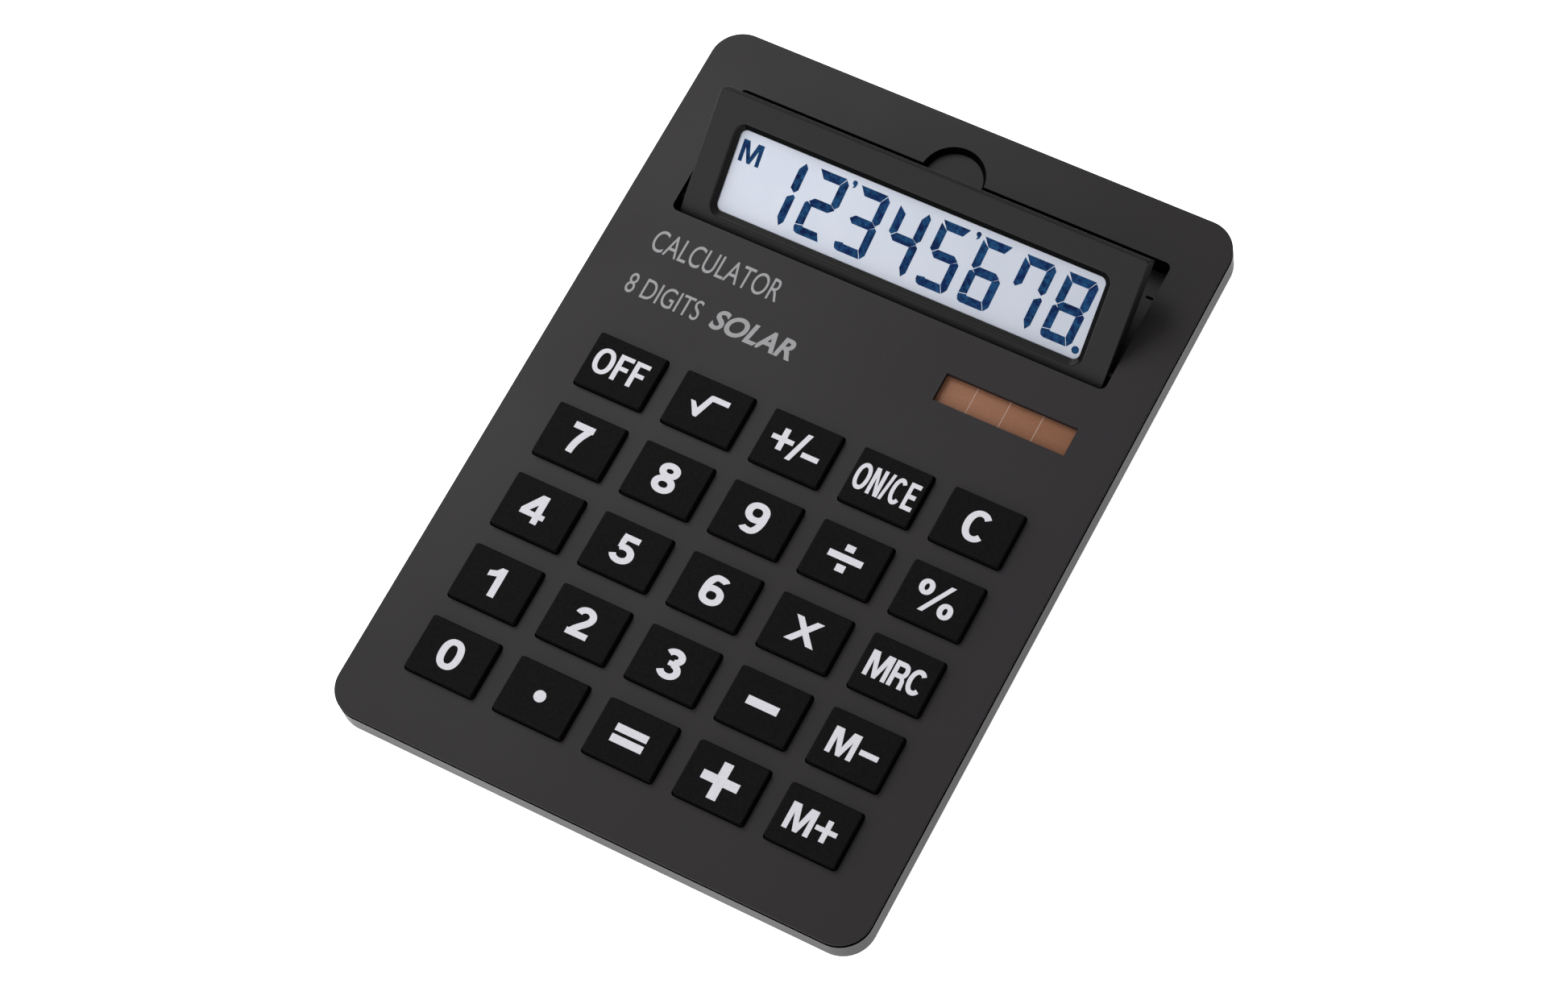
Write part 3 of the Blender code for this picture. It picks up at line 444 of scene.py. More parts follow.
def bake(piece):
    """Turns the piece's modifiers into its mesh."""
    graph = bpy.context.evaluated_depsgraph_get()
    mesh = bpy.data.meshes.new_from_object(piece.evaluated_get(graph))
    piece.modifiers.clear()
    piece.data = mesh
    mesh.name = piece.name


def combined(piece, jobs):
    """Joins or cuts the shells, in order, and leaves a plain mesh."""
    helpers = []
    for operation, shell in jobs:
        helper = new_mesh("helper", shell)
        helpers.append(helper)
        modifier = piece.modifiers.new("combine", "BOOLEAN")
        modifier.operation = operation
        modifier.solver = "EXACT"
        modifier.object = helper
    bpy.context.view_layer.update()
    bake(piece)
    for helper in helpers:
        bpy.data.objects.remove(helper, do_unlink=True)


def soften(piece, width=EDGE_ROUNDING, segments=3):
    """Rounds the sharp edges and bakes the result."""
    bevel = piece.modifiers.new("edges", "BEVEL")
    bevel.width = width * MM
    bevel.segments = segments
    bevel.limit_method = "ANGLE"
    bevel.angle_limit = math.radians(42.0)
    bevel.miter_outer = "MITER_ARC"
    bpy.context.view_layer.update()
    bake(piece)


def cross_recess(x, y, low, depth, reach, half):
    """The two cuts of a cross recess in a screw head."""
    slots = (
        block((x - reach, y - half, low - PAST), (x + reach, y + half, low + depth)),
        block((x - half, y - reach, low - PAST), (x + half, y + reach, low + depth)),
    )
    return [("DIFFERENCE", slot) for slot in slots]


def weigh_normals(piece):
    weighted = piece.modifiers.new("weighted", "WEIGHTED_NORMAL")
    weighted.keep_sharp = True


def lay(piece, body, replaces=(), matrix=None):
    """Puts a finished piece on its body, after moving it by the matrix if one is given."""
    if matrix is not None:
        piece.data.transform(matrix)
    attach(piece, body)
    if replaces:
        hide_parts(*replaces)


def box_mm(node):
    low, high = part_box(node)
    return low / MM, high / MM


def boxes(start):
    """The boxes of the nodes whose names start so."""
    return {node: box_mm(node) for node in frame["nodes"] if node.startswith(start)}


def centre_of(low, high):
    return (low.x + high.x) / 2.0, (low.y + high.y) / 2.0


def both_sides(inner, outer):
    """The same stretch of X on the left and on the right."""
    return (-outer, -inner), (inner, outer)


# ---- Case ----


def screw_places():
    places = {}
    for node, (low, high) in boxes("case_screw").items():
        places[node] = (*centre_of(low, high), low.z, high.z)
    return places


def key_places():
    return {node: box for node, box in boxes("key_").items() if node != "key_mat"}


def foot_places():
    return {node: centre_of(*box) for node, box in boxes("foot_").items()}


def top_bosses(outer_x, boss_top):
    """Blocks for the hinge pins beside the recess, and bosses that the case screws bite into."""
    bosses = None
    for low_x, high_x in both_sides(outer_x - INTO, outer_x + 2.8):
        low_corner = (low_x, HINGE.y - HINGE_BOSS, HINGE.z - HINGE_BOSS)
        bosses = block(low_corner, (high_x, HINGE.y + HINGE_BOSS, boss_top), bosses)
    for x, y, _, _ in screw_places().values():
        bosses = post(x, y, BOSS_BOTTOM, boss_top, BOSS_RADIUS, bosses)
    return bosses


def top_holes(recess_x, outer_x, underside, top):
    """The key holes, the solar window, the screws' pilot holes and the hinge pins' bores."""
    holes = None
    for low, high in key_places().values():
        hole_x = (high.x - low.x) / 2.0 - KEY_FLANGE + KEY_HOLE_GAP
        hole_y = (high.y - low.y) / 2.0 - KEY_FLANGE + KEY_HOLE_GAP
        size = (hole_x, hole_y, KEY_CORNER + KEY_HOLE_GAP)
        holes = slab(size, underside - PAST, top + PAST, centre_of(low, high), KEY_CORNER_STEPS, holes)
    low, high = box_mm("solar_cell")
    window_low = (low.x + SOLAR_LAP, low.y + SOLAR_LAP, underside - PAST)
    holes = block(window_low, (high.x - SOLAR_LAP, high.y - SOLAR_LAP, top + PAST), holes)
    for x, y, _, _ in screw_places().values():
        holes = post(x, y, BOSS_BOTTOM - PAST, underside - 0.4, PILOT_RADIUS, holes, HOLE_SIDES)
    pin_low, pin_high = box_mm("display_hinge_pin_right")
    pin_radius = (pin_high.z - pin_low.z) / 2.0 + 0.2
    for low_x, high_x in both_sides(recess_x - PAST, outer_x + 4.0):
        holes = rod_along_x(low_x, high_x, HINGE.y, HINGE.z, pin_radius, holes)
    return holes


def recess_slots():
    """The cable's slot in the recess's front wall, and the drain in its floor."""
    slots = block(
        (CABLE_SLOT_X[0], RECESS_FRONT - RECESS_WALL - PAST, CABLE_SLOT_Z[0]),
        (CABLE_SLOT_X[1], RECESS_FRONT + PAST, CABLE_SLOT_Z[1]),
    )
    return block(
        (DRAIN_SLOT_X[0], DRAIN_SLOT_Y[0], RECESS_FLOOR - RECESS_SKIN - PAST),
        (DRAIN_SLOT_X[1], DRAIN_SLOT_Y[1], RECESS_FLOOR + PAST),
        slots,
    )


def make_case_top(finish, recess_wall_and_seam_shade_finish):
    half_x, half_y, top = box_mm("top_cover")[1]
    underside = top - COVER_THICKNESS
    rim = top - COVER_RIM
    boss_top = underside + BOSS_RISE
    step_in = WALL + RIM_GAP
    rings = []
    for z in (underside, rim):
        rings.append(ring(half_x - step_in, half_y - step_in, CASE_CORNER - step_in, z))
    rings.append(ring(half_x, half_y, CASE_CORNER, rim))
    rings += fillet_rings(half_x, half_y, CASE_CORNER, top, TOP_FILLET)
    cover = new_mesh("case_top", loft(rings))

    middle = (0.0, (RECESS_FRONT + RECESS_BACK) / 2.0)
    recess = (RECESS_WIDTH / 2.0, (RECESS_BACK - RECESS_FRONT) / 2.0, RECESS_CORNER)
    outer = [half + RECESS_WALL for half in recess]
    tub = slab(outer, RECESS_FLOOR - RECESS_SKIN, boss_top, middle, RECESS_STEPS)
    cup_bottom = top - NOTCH_DEPTH - RECESS_SKIN
    cup = post(0.0, NOTCH_Y, cup_bottom, boss_top, NOTCH_TOP_RADIUS + NOTCH_WALL, sides=ROUND_SIDES)
    cavity = slab(recess, RECESS_FLOOR, top + PAST, middle, RECESS_STEPS)
    flare = PAST * (NOTCH_TOP_RADIUS - NOTCH_FLOOR_RADIUS) / NOTCH_DEPTH
    slope = ((NOTCH_FLOOR_RADIUS, top - NOTCH_DEPTH), (NOTCH_TOP_RADIUS + flare, top + PAST))
    combined(
        cover,
        (
            ("UNION", tub),
            ("UNION", cup),
            ("UNION", top_bosses(outer[0], boss_top)),
            ("DIFFERENCE", cavity),
            ("DIFFERENCE", turned(0.0, NOTCH_Y, slope, ROUND_SIDES)),
            ("DIFFERENCE", top_holes(recess[0], outer[0], underside, top)),
            ("DIFFERENCE", recess_slots()),
        ),
    )
    soften(cover)
    finish_mesh(cover, finish)
    cover.data.materials.append(recess_wall_and_seam_shade_finish)
    # The upright walls of the recess and the finger notch, and the seam groove under the rim, are painted
    # near-black shade.
    for face in cover.data.polygons:
        place = face.center / MM
        in_recess = abs(place.x) < recess[0] + 0.3 and abs(place.y - middle[1]) < recess[1] + 0.3
        in_notch = math.hypot(place.x, place.y - NOTCH_Y) < NOTCH_TOP_RADIUS + 0.1
        upright = abs(face.normal.z) < 0.6 and place.z < top - 0.1
        by_seam = max(abs(place.x) - half_x, abs(place.y) - half_y) > -step_in - 0.5
        if ((in_recess or in_notch) and upright) or (by_seam and place.z < rim + 0.02):
            face.material_index = 1
    weigh_normals(cover)
    lay(cover, "case", ("top_cover",))


def make_case_bottom(finish, groove_ledge_shade_finish):
    low, high = box_mm("bottom_case")
    half_x, half_y, seam = high
    bottom = low.z
    floor = bottom + WALL
    wall_top = seam - SEAM_GROOVE
    rings = [
        ring(half_x - WALL, half_y - WALL, CASE_CORNER - WALL, floor),
        ring(half_x - WALL, half_y - WALL, CASE_CORNER - WALL, wall_top),
        ring(half_x, half_y, CASE_CORNER, wall_top),
    ]
    for step in range(FILLET_STEPS + 1):
        angle = math.radians(90.0 * step / FILLET_STEPS)
        inset = BOTTOM_FILLET * (1.0 - math.cos(angle))
        z = bottom + BOTTOM_FILLET * (1.0 - math.sin(angle))
        rings.append(ring(half_x - inset, half_y - inset, CASE_CORNER - inset, z))
    case = new_mesh("case_bottom", loft(rings))
    posts = None
    for x, y, _, _ in screw_places().values():
        posts = post(x, y, floor - INTO, POST_TOP, POST_RADIUS, posts)
    cover_low, cover_high = box_mm("battery_cover")
    cell_x, cell_y = centre_of(cover_low, cover_high)
    lug_radius = (cover_high.x - cover_low.x) / 2.0
    posts = post(cell_x, cell_y, floor - INTO, WELL_TOP, lug_radius + 2.6, posts, ROUND_SIDES)
    well = post(cell_x, cell_y, floor, WELL_TOP + PAST, lug_radius + 0.8, sides=ROUND_SIDES)
    holes = post(cell_x, cell_y, 0.0, WELL_TOP + PAST, COVER_RADIUS + 0.4, sides=ROUND_SIDES)
    for x, y, _, _ in screw_places().values():
        holes = post(x, y, 0.0, 5.0, SCREW_HEAD_HOLE, holes)
    for x, y in foot_places().values():
        holes = post(x, y, 0.0, 2.0, FOOT_RADIUS + GAP, holes)
    bores = None
    for x, y, _, _ in screw_places().values():
        bores = post(x, y, 4.0, POST_TOP + 0.9, SCREW_HOLE, bores, HOLE_SIDES)
    gate = lug_radius * math.sin(math.radians(LUG_HALF_ANGLE)) + 0.6
    reach = lug_radius + 0.5
    gates = block((cell_x - gate, cell_y - reach, 0.0), (cell_x + gate, cell_y + reach, 5.0))
    combined(
        case,
        (
            ("UNION", posts),
            ("DIFFERENCE", well),
            ("DIFFERENCE", holes),
            ("DIFFERENCE", bores),
            ("DIFFERENCE", gates),
        ),
    )
    soften(case, FINE_ROUNDING, 2)
    finish_mesh(case, finish)
    case.data.materials.append(groove_ledge_shade_finish)
    # The wall's top ledge in the seam groove is painted near-black shade.
    for face in case.data.polygons:
        if face.normal.z > 0.3 and abs(face.center.z / MM - wall_top) < 0.3:
            face.material_index = 1
    weigh_normals(case)
    lay(case, "case", ("bottom_case",))


def make_feet(finish):
    for node, (x, y) in foot_places().items():
        low, high = box_mm(node)
        profile = [(0.6, low.z)]
        profile += arc((FOOT_RADIUS - 1.3, low.z + 0.9), (1.3, 0.9), -90.0, 0.0, FILLET_STEPS)
        profile.append((FOOT_RADIUS, high.z))
        foot = new_mesh("rubber_" + node, turned(x, y, profile))
        finish_mesh(foot, finish)
        lay(foot, "case", (node,))


def make_case_screws(finish):
    for node, (x, y, low, high) in screw_places().items():
        profile = [(0.3, low)] + arc((1.6, low + 0.5), (0.8, 0.5), -90.0, 0.0, 3)
        profile += [(2.4, low + 1.7), (1.1, low + 1.7), (1.1, high)]
        screw = new_mesh("steel_" + node, turned(x, y, profile))
        combined(screw, cross_recess(x, y, low, 0.9, 1.3, 0.25))
        finish_mesh(screw, finish, 25.0)
        lay(screw, "case", (node,))


def make_battery_cover(finish):
    low, high = box_mm("battery_cover")
    x, y = centre_of(low, high)
    lug_radius = (high.x - low.x) / 2.0
    cup_inner = 6.1
    cup_outer = COVER_RADIUS - 0.4
    cup_floor = low.z + 1.6
    profile = (
        (cup_inner, cup_floor),
        (cup_inner, high.z),
        (cup_outer, high.z),
        (cup_outer, cup_floor),
        (COVER_RADIUS, cup_floor),
        (COVER_RADIUS, low.z),
    )
    cover = new_mesh("battery_door", turned(x, y, profile, ROUND_SIDES))
    lugs = None
    for middle in (0.0, 180.0):
        first = middle - LUG_HALF_ANGLE
        last = middle + LUG_HALF_ANGLE
        outline = arc((x, y), (lug_radius, lug_radius), first, last, 8)
        outline += arc((x, y), (cup_outer - 1.0, cup_outer - 1.0), last, first, 8)
        lugs = loft([[(a, b, z) for a, b in outline] for z in (high.z - 1.0, high.z)], lugs)
    slot = block((x - 6.0, y - 1.0, low.z - PAST), (x + 6.0, y + 1.0, low.z + 0.9))
    mark = post(x, y - 7.6, low.z - PAST, low.z + 0.35, 0.7)
    combined(cover, (("UNION", lugs), ("DIFFERENCE", slot), ("DIFFERENCE", mark)))
    soften(cover, FINE_ROUNDING, 2)
    finish_mesh(cover, finish)
    weigh_normals(cover)
    lay(cover, "battery_cover", ("battery_cover",))


def make_solar_cell(finish, line_finish):
    low, high = box_mm("solar_cell")
    cell = new_mesh("solar_panel", block(low, high))
    soften(cell, 0.15, 2)
    finish_mesh(cell, finish)
    lay(cell, "case", ("solar_cell",))
    width = high.x - low.x - 2.0 * SOLAR_LAP
    lines = None
    for strip in range(1, SOLAR_STRIPS):
        x = low.x + SOLAR_LAP + width * (strip / SOLAR_STRIPS) - 0.65
        lines = block(
            (x - SOLAR_LINE / 2.0, low.y + 0.2, high.z - 0.05),
            (x + SOLAR_LINE / 2.0, high.y - 0.2, high.z + 0.015),
            lines,
        )
    strips = new_mesh("solar_strip_lines", lines)
    finish_mesh(strips, line_finish)
    lay(strips, "case")


# ---- Keys and their legends ----


def make_key(node, low, high, finish):
    half_x = (high.x - low.x) / 2.0 - KEY_FLANGE
    half_y = (high.y - low.y) / 2.0 - KEY_FLANGE
    centre = centre_of(low, high)
    flange_top = low.z + KEY_FLANGE
    steps = KEY_CORNER_STEPS

    def row(x, y, corner, z):
        return ring(x, y, corner, z, centre, steps)

    rings = [
        row(half_x - KEY_SHELL, half_y - KEY_SHELL, KEY_CORNER, high.z - KEY_SHELL),
        row(half_x - KEY_SHELL, half_y - KEY_SHELL, KEY_CORNER, low.z),
        row(half_x + KEY_FLANGE, half_y + KEY_FLANGE, KEY_CORNER, low.z),
        row(half_x + KEY_FLANGE, half_y + KEY_FLANGE, KEY_CORNER, flange_top),
        row(half_x, half_y, KEY_CORNER, flange_top),
    ]
    rings += fillet_rings(
        half_x - KEY_DRAFT, half_y - KEY_DRAFT, KEY_CORNER, high.z, KEY_EDGE, centre, steps
    )
    key = new_mesh(node + "_cap", loft(rings))
    finish_mesh(key, finish)
    weigh_normals(key)
    lay(key, node, (node,))
    return centre


class Ink:
    """Flat print on a surface. Each shape is a hair higher than the last, so that shapes that cross never
    lie in one plane."""

    SINK = 0.02
    LAYER = 0.003

    def __init__(self, surface, centre=(0.0, 0.0), rise=0.03):
        self.shell = bmesh.new()
        self.low = surface - self.SINK
        self.high = surface + rise
        self.centre = centre
        self.count = 0

    def levels(self):
        """The heights of the next shape's underside and top."""
        top = self.high + self.LAYER * self.count
        self.count += 1
        return self.low, top

    def at(self, point, z):
        return self.centre[0] + point[0], self.centre[1] + point[1], z

    def prism(self, outline):
        loft([[self.at(point, z) for point in outline] for z in self.levels()], self.shell)

    def band(self, inner, outer, closed):
        """A strip between two lines of equally many points."""
        low, top = self.levels()
        rows = []
        for a, b in zip(inner, outer):
            rows.append([self.at(a, low), self.at(b, low), self.at(b, top), self.at(a, top)])
        loft(rows, self.shell, closed)

    def stroke(self, path, pen, closed=False):
        self.band(*both_edges(path, pen, closed), closed)

    def done(self, name, finish, body, matrix=None):
        piece = new_mesh(name, self.shell)
        piece.data.materials.append(finish)
        lay(piece, body, matrix=matrix)


def both_edges(path, pen, closed=False):
    """The two edges of a stroke: pen is (thickness of upright strokes, thickness of level strokes)."""
    left = []
    right = []
    count = len(path)
    for i, (x, y) in enumerate(path):
        before = path[(i - 1) % count] if closed or i > 0 else path[i]
        after = path[(i + 1) % count] if closed or i < count - 1 else path[i]
        run = math.hypot(after[0] - before[0], after[1] - before[1])
        offset_x = (before[1] - after[1]) / run * pen[0] / 2.0
        offset_y = (after[0] - before[0]) / run * pen[1] / 2.0
        left.append((x + offset_x, y + offset_y))
        right.append((x - offset_x, y - offset_y))
    return left, right


def outset(outline, by):
    """Moves every side of a clockwise outline outwards."""
    grown = []
    count = len(outline)
    for i, (x, y) in enumerate(outline):
        before = outline[i - 1]
        after = outline[(i + 1) % count]
        first = Vector((x - before[0], y - before[1])).normalized()
        second = Vector((after[0] - x, after[1] - y)).normalized()
        first_out = Vector((-first.y, first.x))
        second_out = Vector((-second.y, second.x))
        corner = (first_out + second_out) * (by / (1.0 + first_out.dot(second_out)))
        grown.append((x + corner.x, y + corner.y))
    return grown


def arc(centre, radii, start, end, steps=20, power=1.0):
    """Points on an ellipse from one angle to another, in degrees. A power under 1 squares it up."""
    points = []
    for step in range(steps + 1):
        angle = math.radians(start + (end - start) * step / steps)
        c = math.cos(angle)
        s = math.sin(angle)
        x = math.copysign(abs(c) ** power, c)
        y = math.copysign(abs(s) ** power, s)
        points.append((centre[0] + radii[0] * x, centre[1] + radii[1] * y))
    return points


def loop(centre, radii, power=1.0, steps=40):
    return arc(centre, radii, 0.0, 360.0 - 360.0 / steps, steps - 1, power)


def bar(low_x, low_y, high_x, high_y):
    return ((low_x, low_y), (high_x, low_y), (high_x, high_y), (low_x, high_y))


def curve(start, pull_start, pull_end, end, steps=14):
    """Points on a cubic curve."""
    points = []
    for step in range(steps + 1):
        t = step / steps
        u = 1.0 - t
        weights = (u * u * u, 3.0 * u * u * t, 3.0 * u * t * t, t * t * t)
        places = (start, pull_start, pull_end, end)
        x = sum(weight * place[0] for weight, place in zip(weights, places))
        y = sum(weight * place[1] for weight, place in zip(weights, places))
        points.append((x, y))
    return points


# Glyphs: height 1 from the base line, and their own width. Each glyph is (width, parts).


def filled(*outline):
    return ("filled", outline, True)


def beam(low_x, low_y, high_x, high_y):
    return filled(*bar(low_x, low_y, high_x, high_y))


def pen(path, closed=False):
    return ("pen", path, closed)


def glyphs(up, level):
    """Bold sans-serif glyphs for a pen of these weights, as shares of the height."""
    half_up = up / 2.0
    half = level / 2.0
    top = 1.0 - level
    stem = beam(0.0, 0.0, up, 1.0)

    def oval(x, y, half_x, half_y, power, side=half_up):
        """A closed round stroke whose outer edge has these half sizes."""
        return pen(loop((x, y), (half_x - side, half_y - half), power), True)

    def bowl(x, y, half_x, half_y, start, end, steps, power=1.0):
        """The path of an open round stroke whose outer edge has these half sizes."""
        return arc((x, y), (half_x - half_up, half_y - half), start, end, steps, power)

    def turned_over(part, width):
        """The part turned half round, as a 9 is from a 6."""
        return pen([(width - x, 1.0 - y) for x, y in part[1]], part[2])

    neck = curve((half_up, 0.36), (half_up - 0.01, 0.78), (0.26, 0.95), (0.42, 1.0 - half))
    neck += arc((0.44, 0.78), (0.19, 0.22 - half), 75.0, 25.0, 6)[1:]
    six = [oval(0.37, 0.325, 0.37, 0.325, 0.92), pen(neck)]
    two = bowl(0.355, 0.705, 0.355, 0.295, 172.0, 0.0, 18)
    two += curve((0.71 - half_up, 0.705), (0.70 - half_up, 0.48), (0.25, 0.36), (0.15, 0.12))[1:]
    five = [(0.13, 0.52), (0.13, 0.8), (0.155, 1.0), (0.71, 1.0), (0.71, top), (0.335, top)]
    five += [(0.29, 0.60), (0.03, 0.47)]
    slope = [(up * 0.4, 1.0), (up * 1.6, 1.0), (0.43, up * 2.0), (0.43, 0.0), (0.43 - up * 0.42, 0.0)]
    other_slope = [(0.86 - x, y) for x, y in reversed(slope)]
    crossing = [(up * 0.4, 1.0), (up * 1.15, 1.0), (0.72 - up * 0.4, 0.0), (0.72 - up * 1.15, 0.0)]
    round_r = [(up * 0.8, 1.0 - half)]
    round_r += arc((0.38, 0.69), (0.22, 0.31 - half), 90.0, -90.0, 14, 0.85)
    round_r.append((up * 0.8, 0.38 + half))
    leg = [(0.38, 0.52), (0.56, 0.50), (0.67, 0.34), (0.71, 0.0), (0.71 - up * 1.1, 0.0), (0.49, 0.30)]
    left = 0.54 - up
    flag = [(left, 0.68), (left, 0.86), (0.34, 1.0), (0.22, 0.86), (0.0, 0.79), (0.0, 0.60)]
    return {
        "0": (0.77, [oval(0.385, 0.5, 0.385, 0.5, 0.86, half_up * 1.02)]),
        "O": (0.78, [oval(0.39, 0.5, 0.39, 0.5, 0.9)]),
        "1": (
            0.54,
            [filled((left, 0.0), (0.54, 0.0), (0.54, 1.0), (0.34, 1.0), (left, 0.86)), filled(*flag)],
        ),
        "2": (0.72, [pen(two), beam(0.0, 0.0, 0.71, level * 1.02)]),
        "3": (
            0.76,
            [
                pen(bowl(0.36, 0.735, 0.34, 0.265, 158.0, -78.0, 22)),
                pen(bowl(0.375, 0.30, 0.375, 0.30, 82.0, -162.0, 22)),
                beam(0.26, 0.44, 0.44, 0.44 + level * 0.82),
            ],
        ),
        "4": (
            0.84,
            [
                filled((0.0, 0.38), (0.45, 1.0), (0.48, 1.0), (0.48, 0.64), (0.27, 0.38)),
                beam(0.0, 0.2, 0.48, 0.38),
                beam(0.48, 0.0, 0.7, 1.0),
                beam(0.7, 0.2, 0.84, 0.38),
            ],
        ),
        "5": (0.77, [filled(*five), pen(bowl(0.36, 0.335, 0.40, 0.335, 128.0, -164.0, 26, 0.95))]),
        "6": (0.74, six),
        "7": (
            0.68,
            [
                beam(0.0, 1.0 - level * 1.12, 0.68, 1.0),
                pen(curve((0.60, 0.90), (0.40, 0.66), (0.26, 0.36), (0.25, 0.0))),
            ],
        ),
        "8": (0.74, [oval(0.37, 0.74, 0.335, 0.26, 0.95), oval(0.37, 0.29, 0.37, 0.29, 0.95)]),
        "9": (0.74, [turned_over(part, 0.74) for part in six]),
        "C": (0.78, [pen(bowl(0.40, 0.5, 0.40, 0.5, 42.0, 318.0, 30, 0.93))]),
        "F": (0.53, [stem, beam(up, top, 0.53, 1.0), beam(up, 0.42, 0.47, 0.42 + level)]),
        "E": (
            0.56,
            [
                stem,
                beam(up, top, 0.54, 1.0),
                beam(up, 0.42, 0.50, 0.42 + level),
                beam(up, 0.0, 0.56, level),
            ],
        ),
        "N": (0.72, [stem, beam(0.72 - up, 0.0, 0.72, 1.0), filled(*crossing)]),
        "M": (0.86, [stem, beam(0.86 - up, 0.0, 0.86, 1.0), filled(*slope), filled(*other_slope)]),
        "R": (0.72, [stem, pen(round_r), filled(*leg)]),
        "/": (0.40, [filled((0.0, 0.0), (up * 0.86, 0.0), (0.40, 1.0), (0.40 - up * 0.86, 1.0))]),
    }


def write(ink, text, low_x, low_y, high_x, high_y, up, level, spacing=0.09):
    """Writes a word so that it fills a box. up and level are stroke weights in millimetres."""
    height = high_y - low_y
    first = glyphs(0.2, 0.18)
    natural = sum(first[letter][0] for letter in text) + spacing * (len(text) - 1)
    stretch = (high_x - low_x) / (natural * height)
    shapes = glyphs(up / height / stretch, level / height)
    x = low_x
    for letter in text:
        width, parts = shapes[letter]
        for part in parts:
            points = [(x + px * height * stretch, low_y + py * height) for px, py in part[1]]
            if part[0] == "filled":
                ink.prism(points)
            else:
                ink.stroke(points, (up, level), part[2])
        x += (width + spacing) * height * stretch


def legend_digit(text, low_x, low_y, high_x, high_y):
    return lambda ink: write(ink, text, low_x, low_y, high_x, high_y, 2.65, 2.25)


def legend_word(low_y, high_y, up, level, *letters):
    """A word whose letters each give their own left and right edge."""

    def draw(ink):
        for letter, low_x, high_x in letters:
            write(ink, letter, low_x, low_y, high_x, high_y, up, level)

    return draw


def legend_shapes(*outlines):
    def draw(ink):
        for outline in outlines:
            ink.prism(outline)

    return draw


def legend_percent(ink):
    ink.stroke(loop((-5.1, 2.7), (1.8, 2.2), 0.95, 28), (2.0, 1.7), True)
    ink.stroke(loop((4.7, -3.1), (1.8, 2.2), 0.95, 28), (2.0, 1.7), True)
    ink.prism(((-4.6, -6.1), (-2.7, -6.1), (4.7, 6.1), (2.8, 6.1)))


def legend_memory(plus):
    def draw(ink):
        if plus:
            write(ink, "M", -9.6, -5.3, 0.3, 4.7, 1.95, 1.9)
            ink.prism(bar(1.1, -1.3, 9.2, 0.5))
            ink.prism(bar(4.2, -4.7, 6.2, 3.6))
        else:
            write(ink, "M", -9.25, -5.2, 0.65, 4.75, 1.95, 1.9)
            ink.prism(bar(2.1, -1.5, 9.1, 0.5))

    return draw


# Each digit's box on its key: left, front, right, back.
DIGIT_BOXES = {
    "0": (-5.1, -6.0, 3.9, 5.7),
    "1": (-4.0, -5.6, 2.2, 5.8),
    "2": (-4.4, -5.8, 4.0, 5.8),
    "3": (-4.6, -6.0, 4.4, 5.6),
    "4": (-5.9, -5.3, 3.7, 6.0),
    "5": (-4.7, -5.5, 4.2, 5.8),
    "6": (-4.6, -5.8, 4.4, 5.9),
    "7": (-4.3, -5.7, 3.6, 6.1),
    "8": (-4.6, -5.9, 4.2, 6.1),
    "9": (-4.6, -6.1, 4.4, 6.0),
}
OFF_LETTERS = (("O", -10.8, -3.1), ("F", -2.3, 3.3), ("F", 4.2, 9.8))
ON_LETTERS = (
    ("O", -11.9, -6.35),
    ("N", -5.7, -1.1),
    ("/", -0.75, 1.85),
    ("C", 2.15, 7.0),
    ("E", 7.85, 12.1),
)
HOOK = ((-7.0, 0.7), (-5.2, 0.7), (-3.4, -1.4), (-1.0, 4.6), (-0.4, 5.1))
ROOT = HOOK + ((6.75, 5.1), (6.75, 3.0), (0.6, 3.0), (-2.15, -4.5), (-2.4, -4.8), (-3.4, -4.8), (-3.9, -4.4))
RECALL_LETTERS = (("M", -10.75, -2.2), ("R", -1.55, 4.35), ("C", 4.65, 10.75))
LEGENDS = {
    "key_off": legend_word(-4.7, 5.7, 1.85, 1.65, *OFF_LETTERS),
    "key_square_root": legend_shapes(ROOT),
    "key_plus_minus": legend_shapes(
        bar(-9.8, -0.35, -1.3, 1.55),
        bar(-6.6, -3.7, -4.35, 5.0),
        ((-1.8, -5.7), (0.2, -5.7), (3.9, 6.1), (1.9, 6.1)),
        bar(3.1, -2.8, 9.7, -0.8),
    ),
    "key_on_ce": legend_word(-5.3, 5.3, 1.4, 1.7, *ON_LETTERS),
    "key_clear": legend_word(-6.2, 6.0, 2.55, 2.2, ("C", -4.8, 4.7)),
    "key_divide": legend_shapes(
        bar(-6.6, -1.3, 6.6, 1.25), bar(-1.7, 2.6, 1.75, 5.2), bar(-1.7, -5.5, 1.75, -2.7)
    ),
    "key_percent": legend_percent,
    "key_multiply": legend_shapes(
        ((-5.75, -4.85), (-2.75, -4.85), (5.5, 4.85), (2.65, 4.85)),
        ((-5.35, 4.85), (-2.5, 4.85), (5.75, -4.85), (2.8, -4.85)),
    ),
    "key_memory_recall": legend_word(-5.1, 4.75, 1.65, 1.8, *RECALL_LETTERS),
    "key_minus": legend_shapes(bar(-6.2, -1.65, 5.9, 1.6)),
    "key_memory_minus": legend_memory(False),
    "key_decimal_point": legend_shapes(arc((-0.2, -0.1), (2.25, 2.25), 0.0, 350.0, 35)),
    "key_equals": legend_shapes(bar(-6.4, 0.45, 6.0, 3.3), bar(-6.4, -3.7, 6.0, -0.8)),
    "key_plus": legend_shapes(bar(-7.2, -1.9, 6.9, 1.45), bar(-2.0, -7.4, 1.6, 6.7)),
    "key_memory_plus": legend_memory(True),
}
for digit, digit_box in DIGIT_BOXES.items():
    LEGENDS["key_" + digit] = legend_digit(digit, *digit_box)


def make_keys(finish, ink_finish):
    for node, (low, high) in key_places().items():
        centre = make_key(node, low, high, finish)
        ink = Ink(high.z, centre)
        LEGENDS[node](ink)
        ink.done(node + "_legend", ink_finish, node)


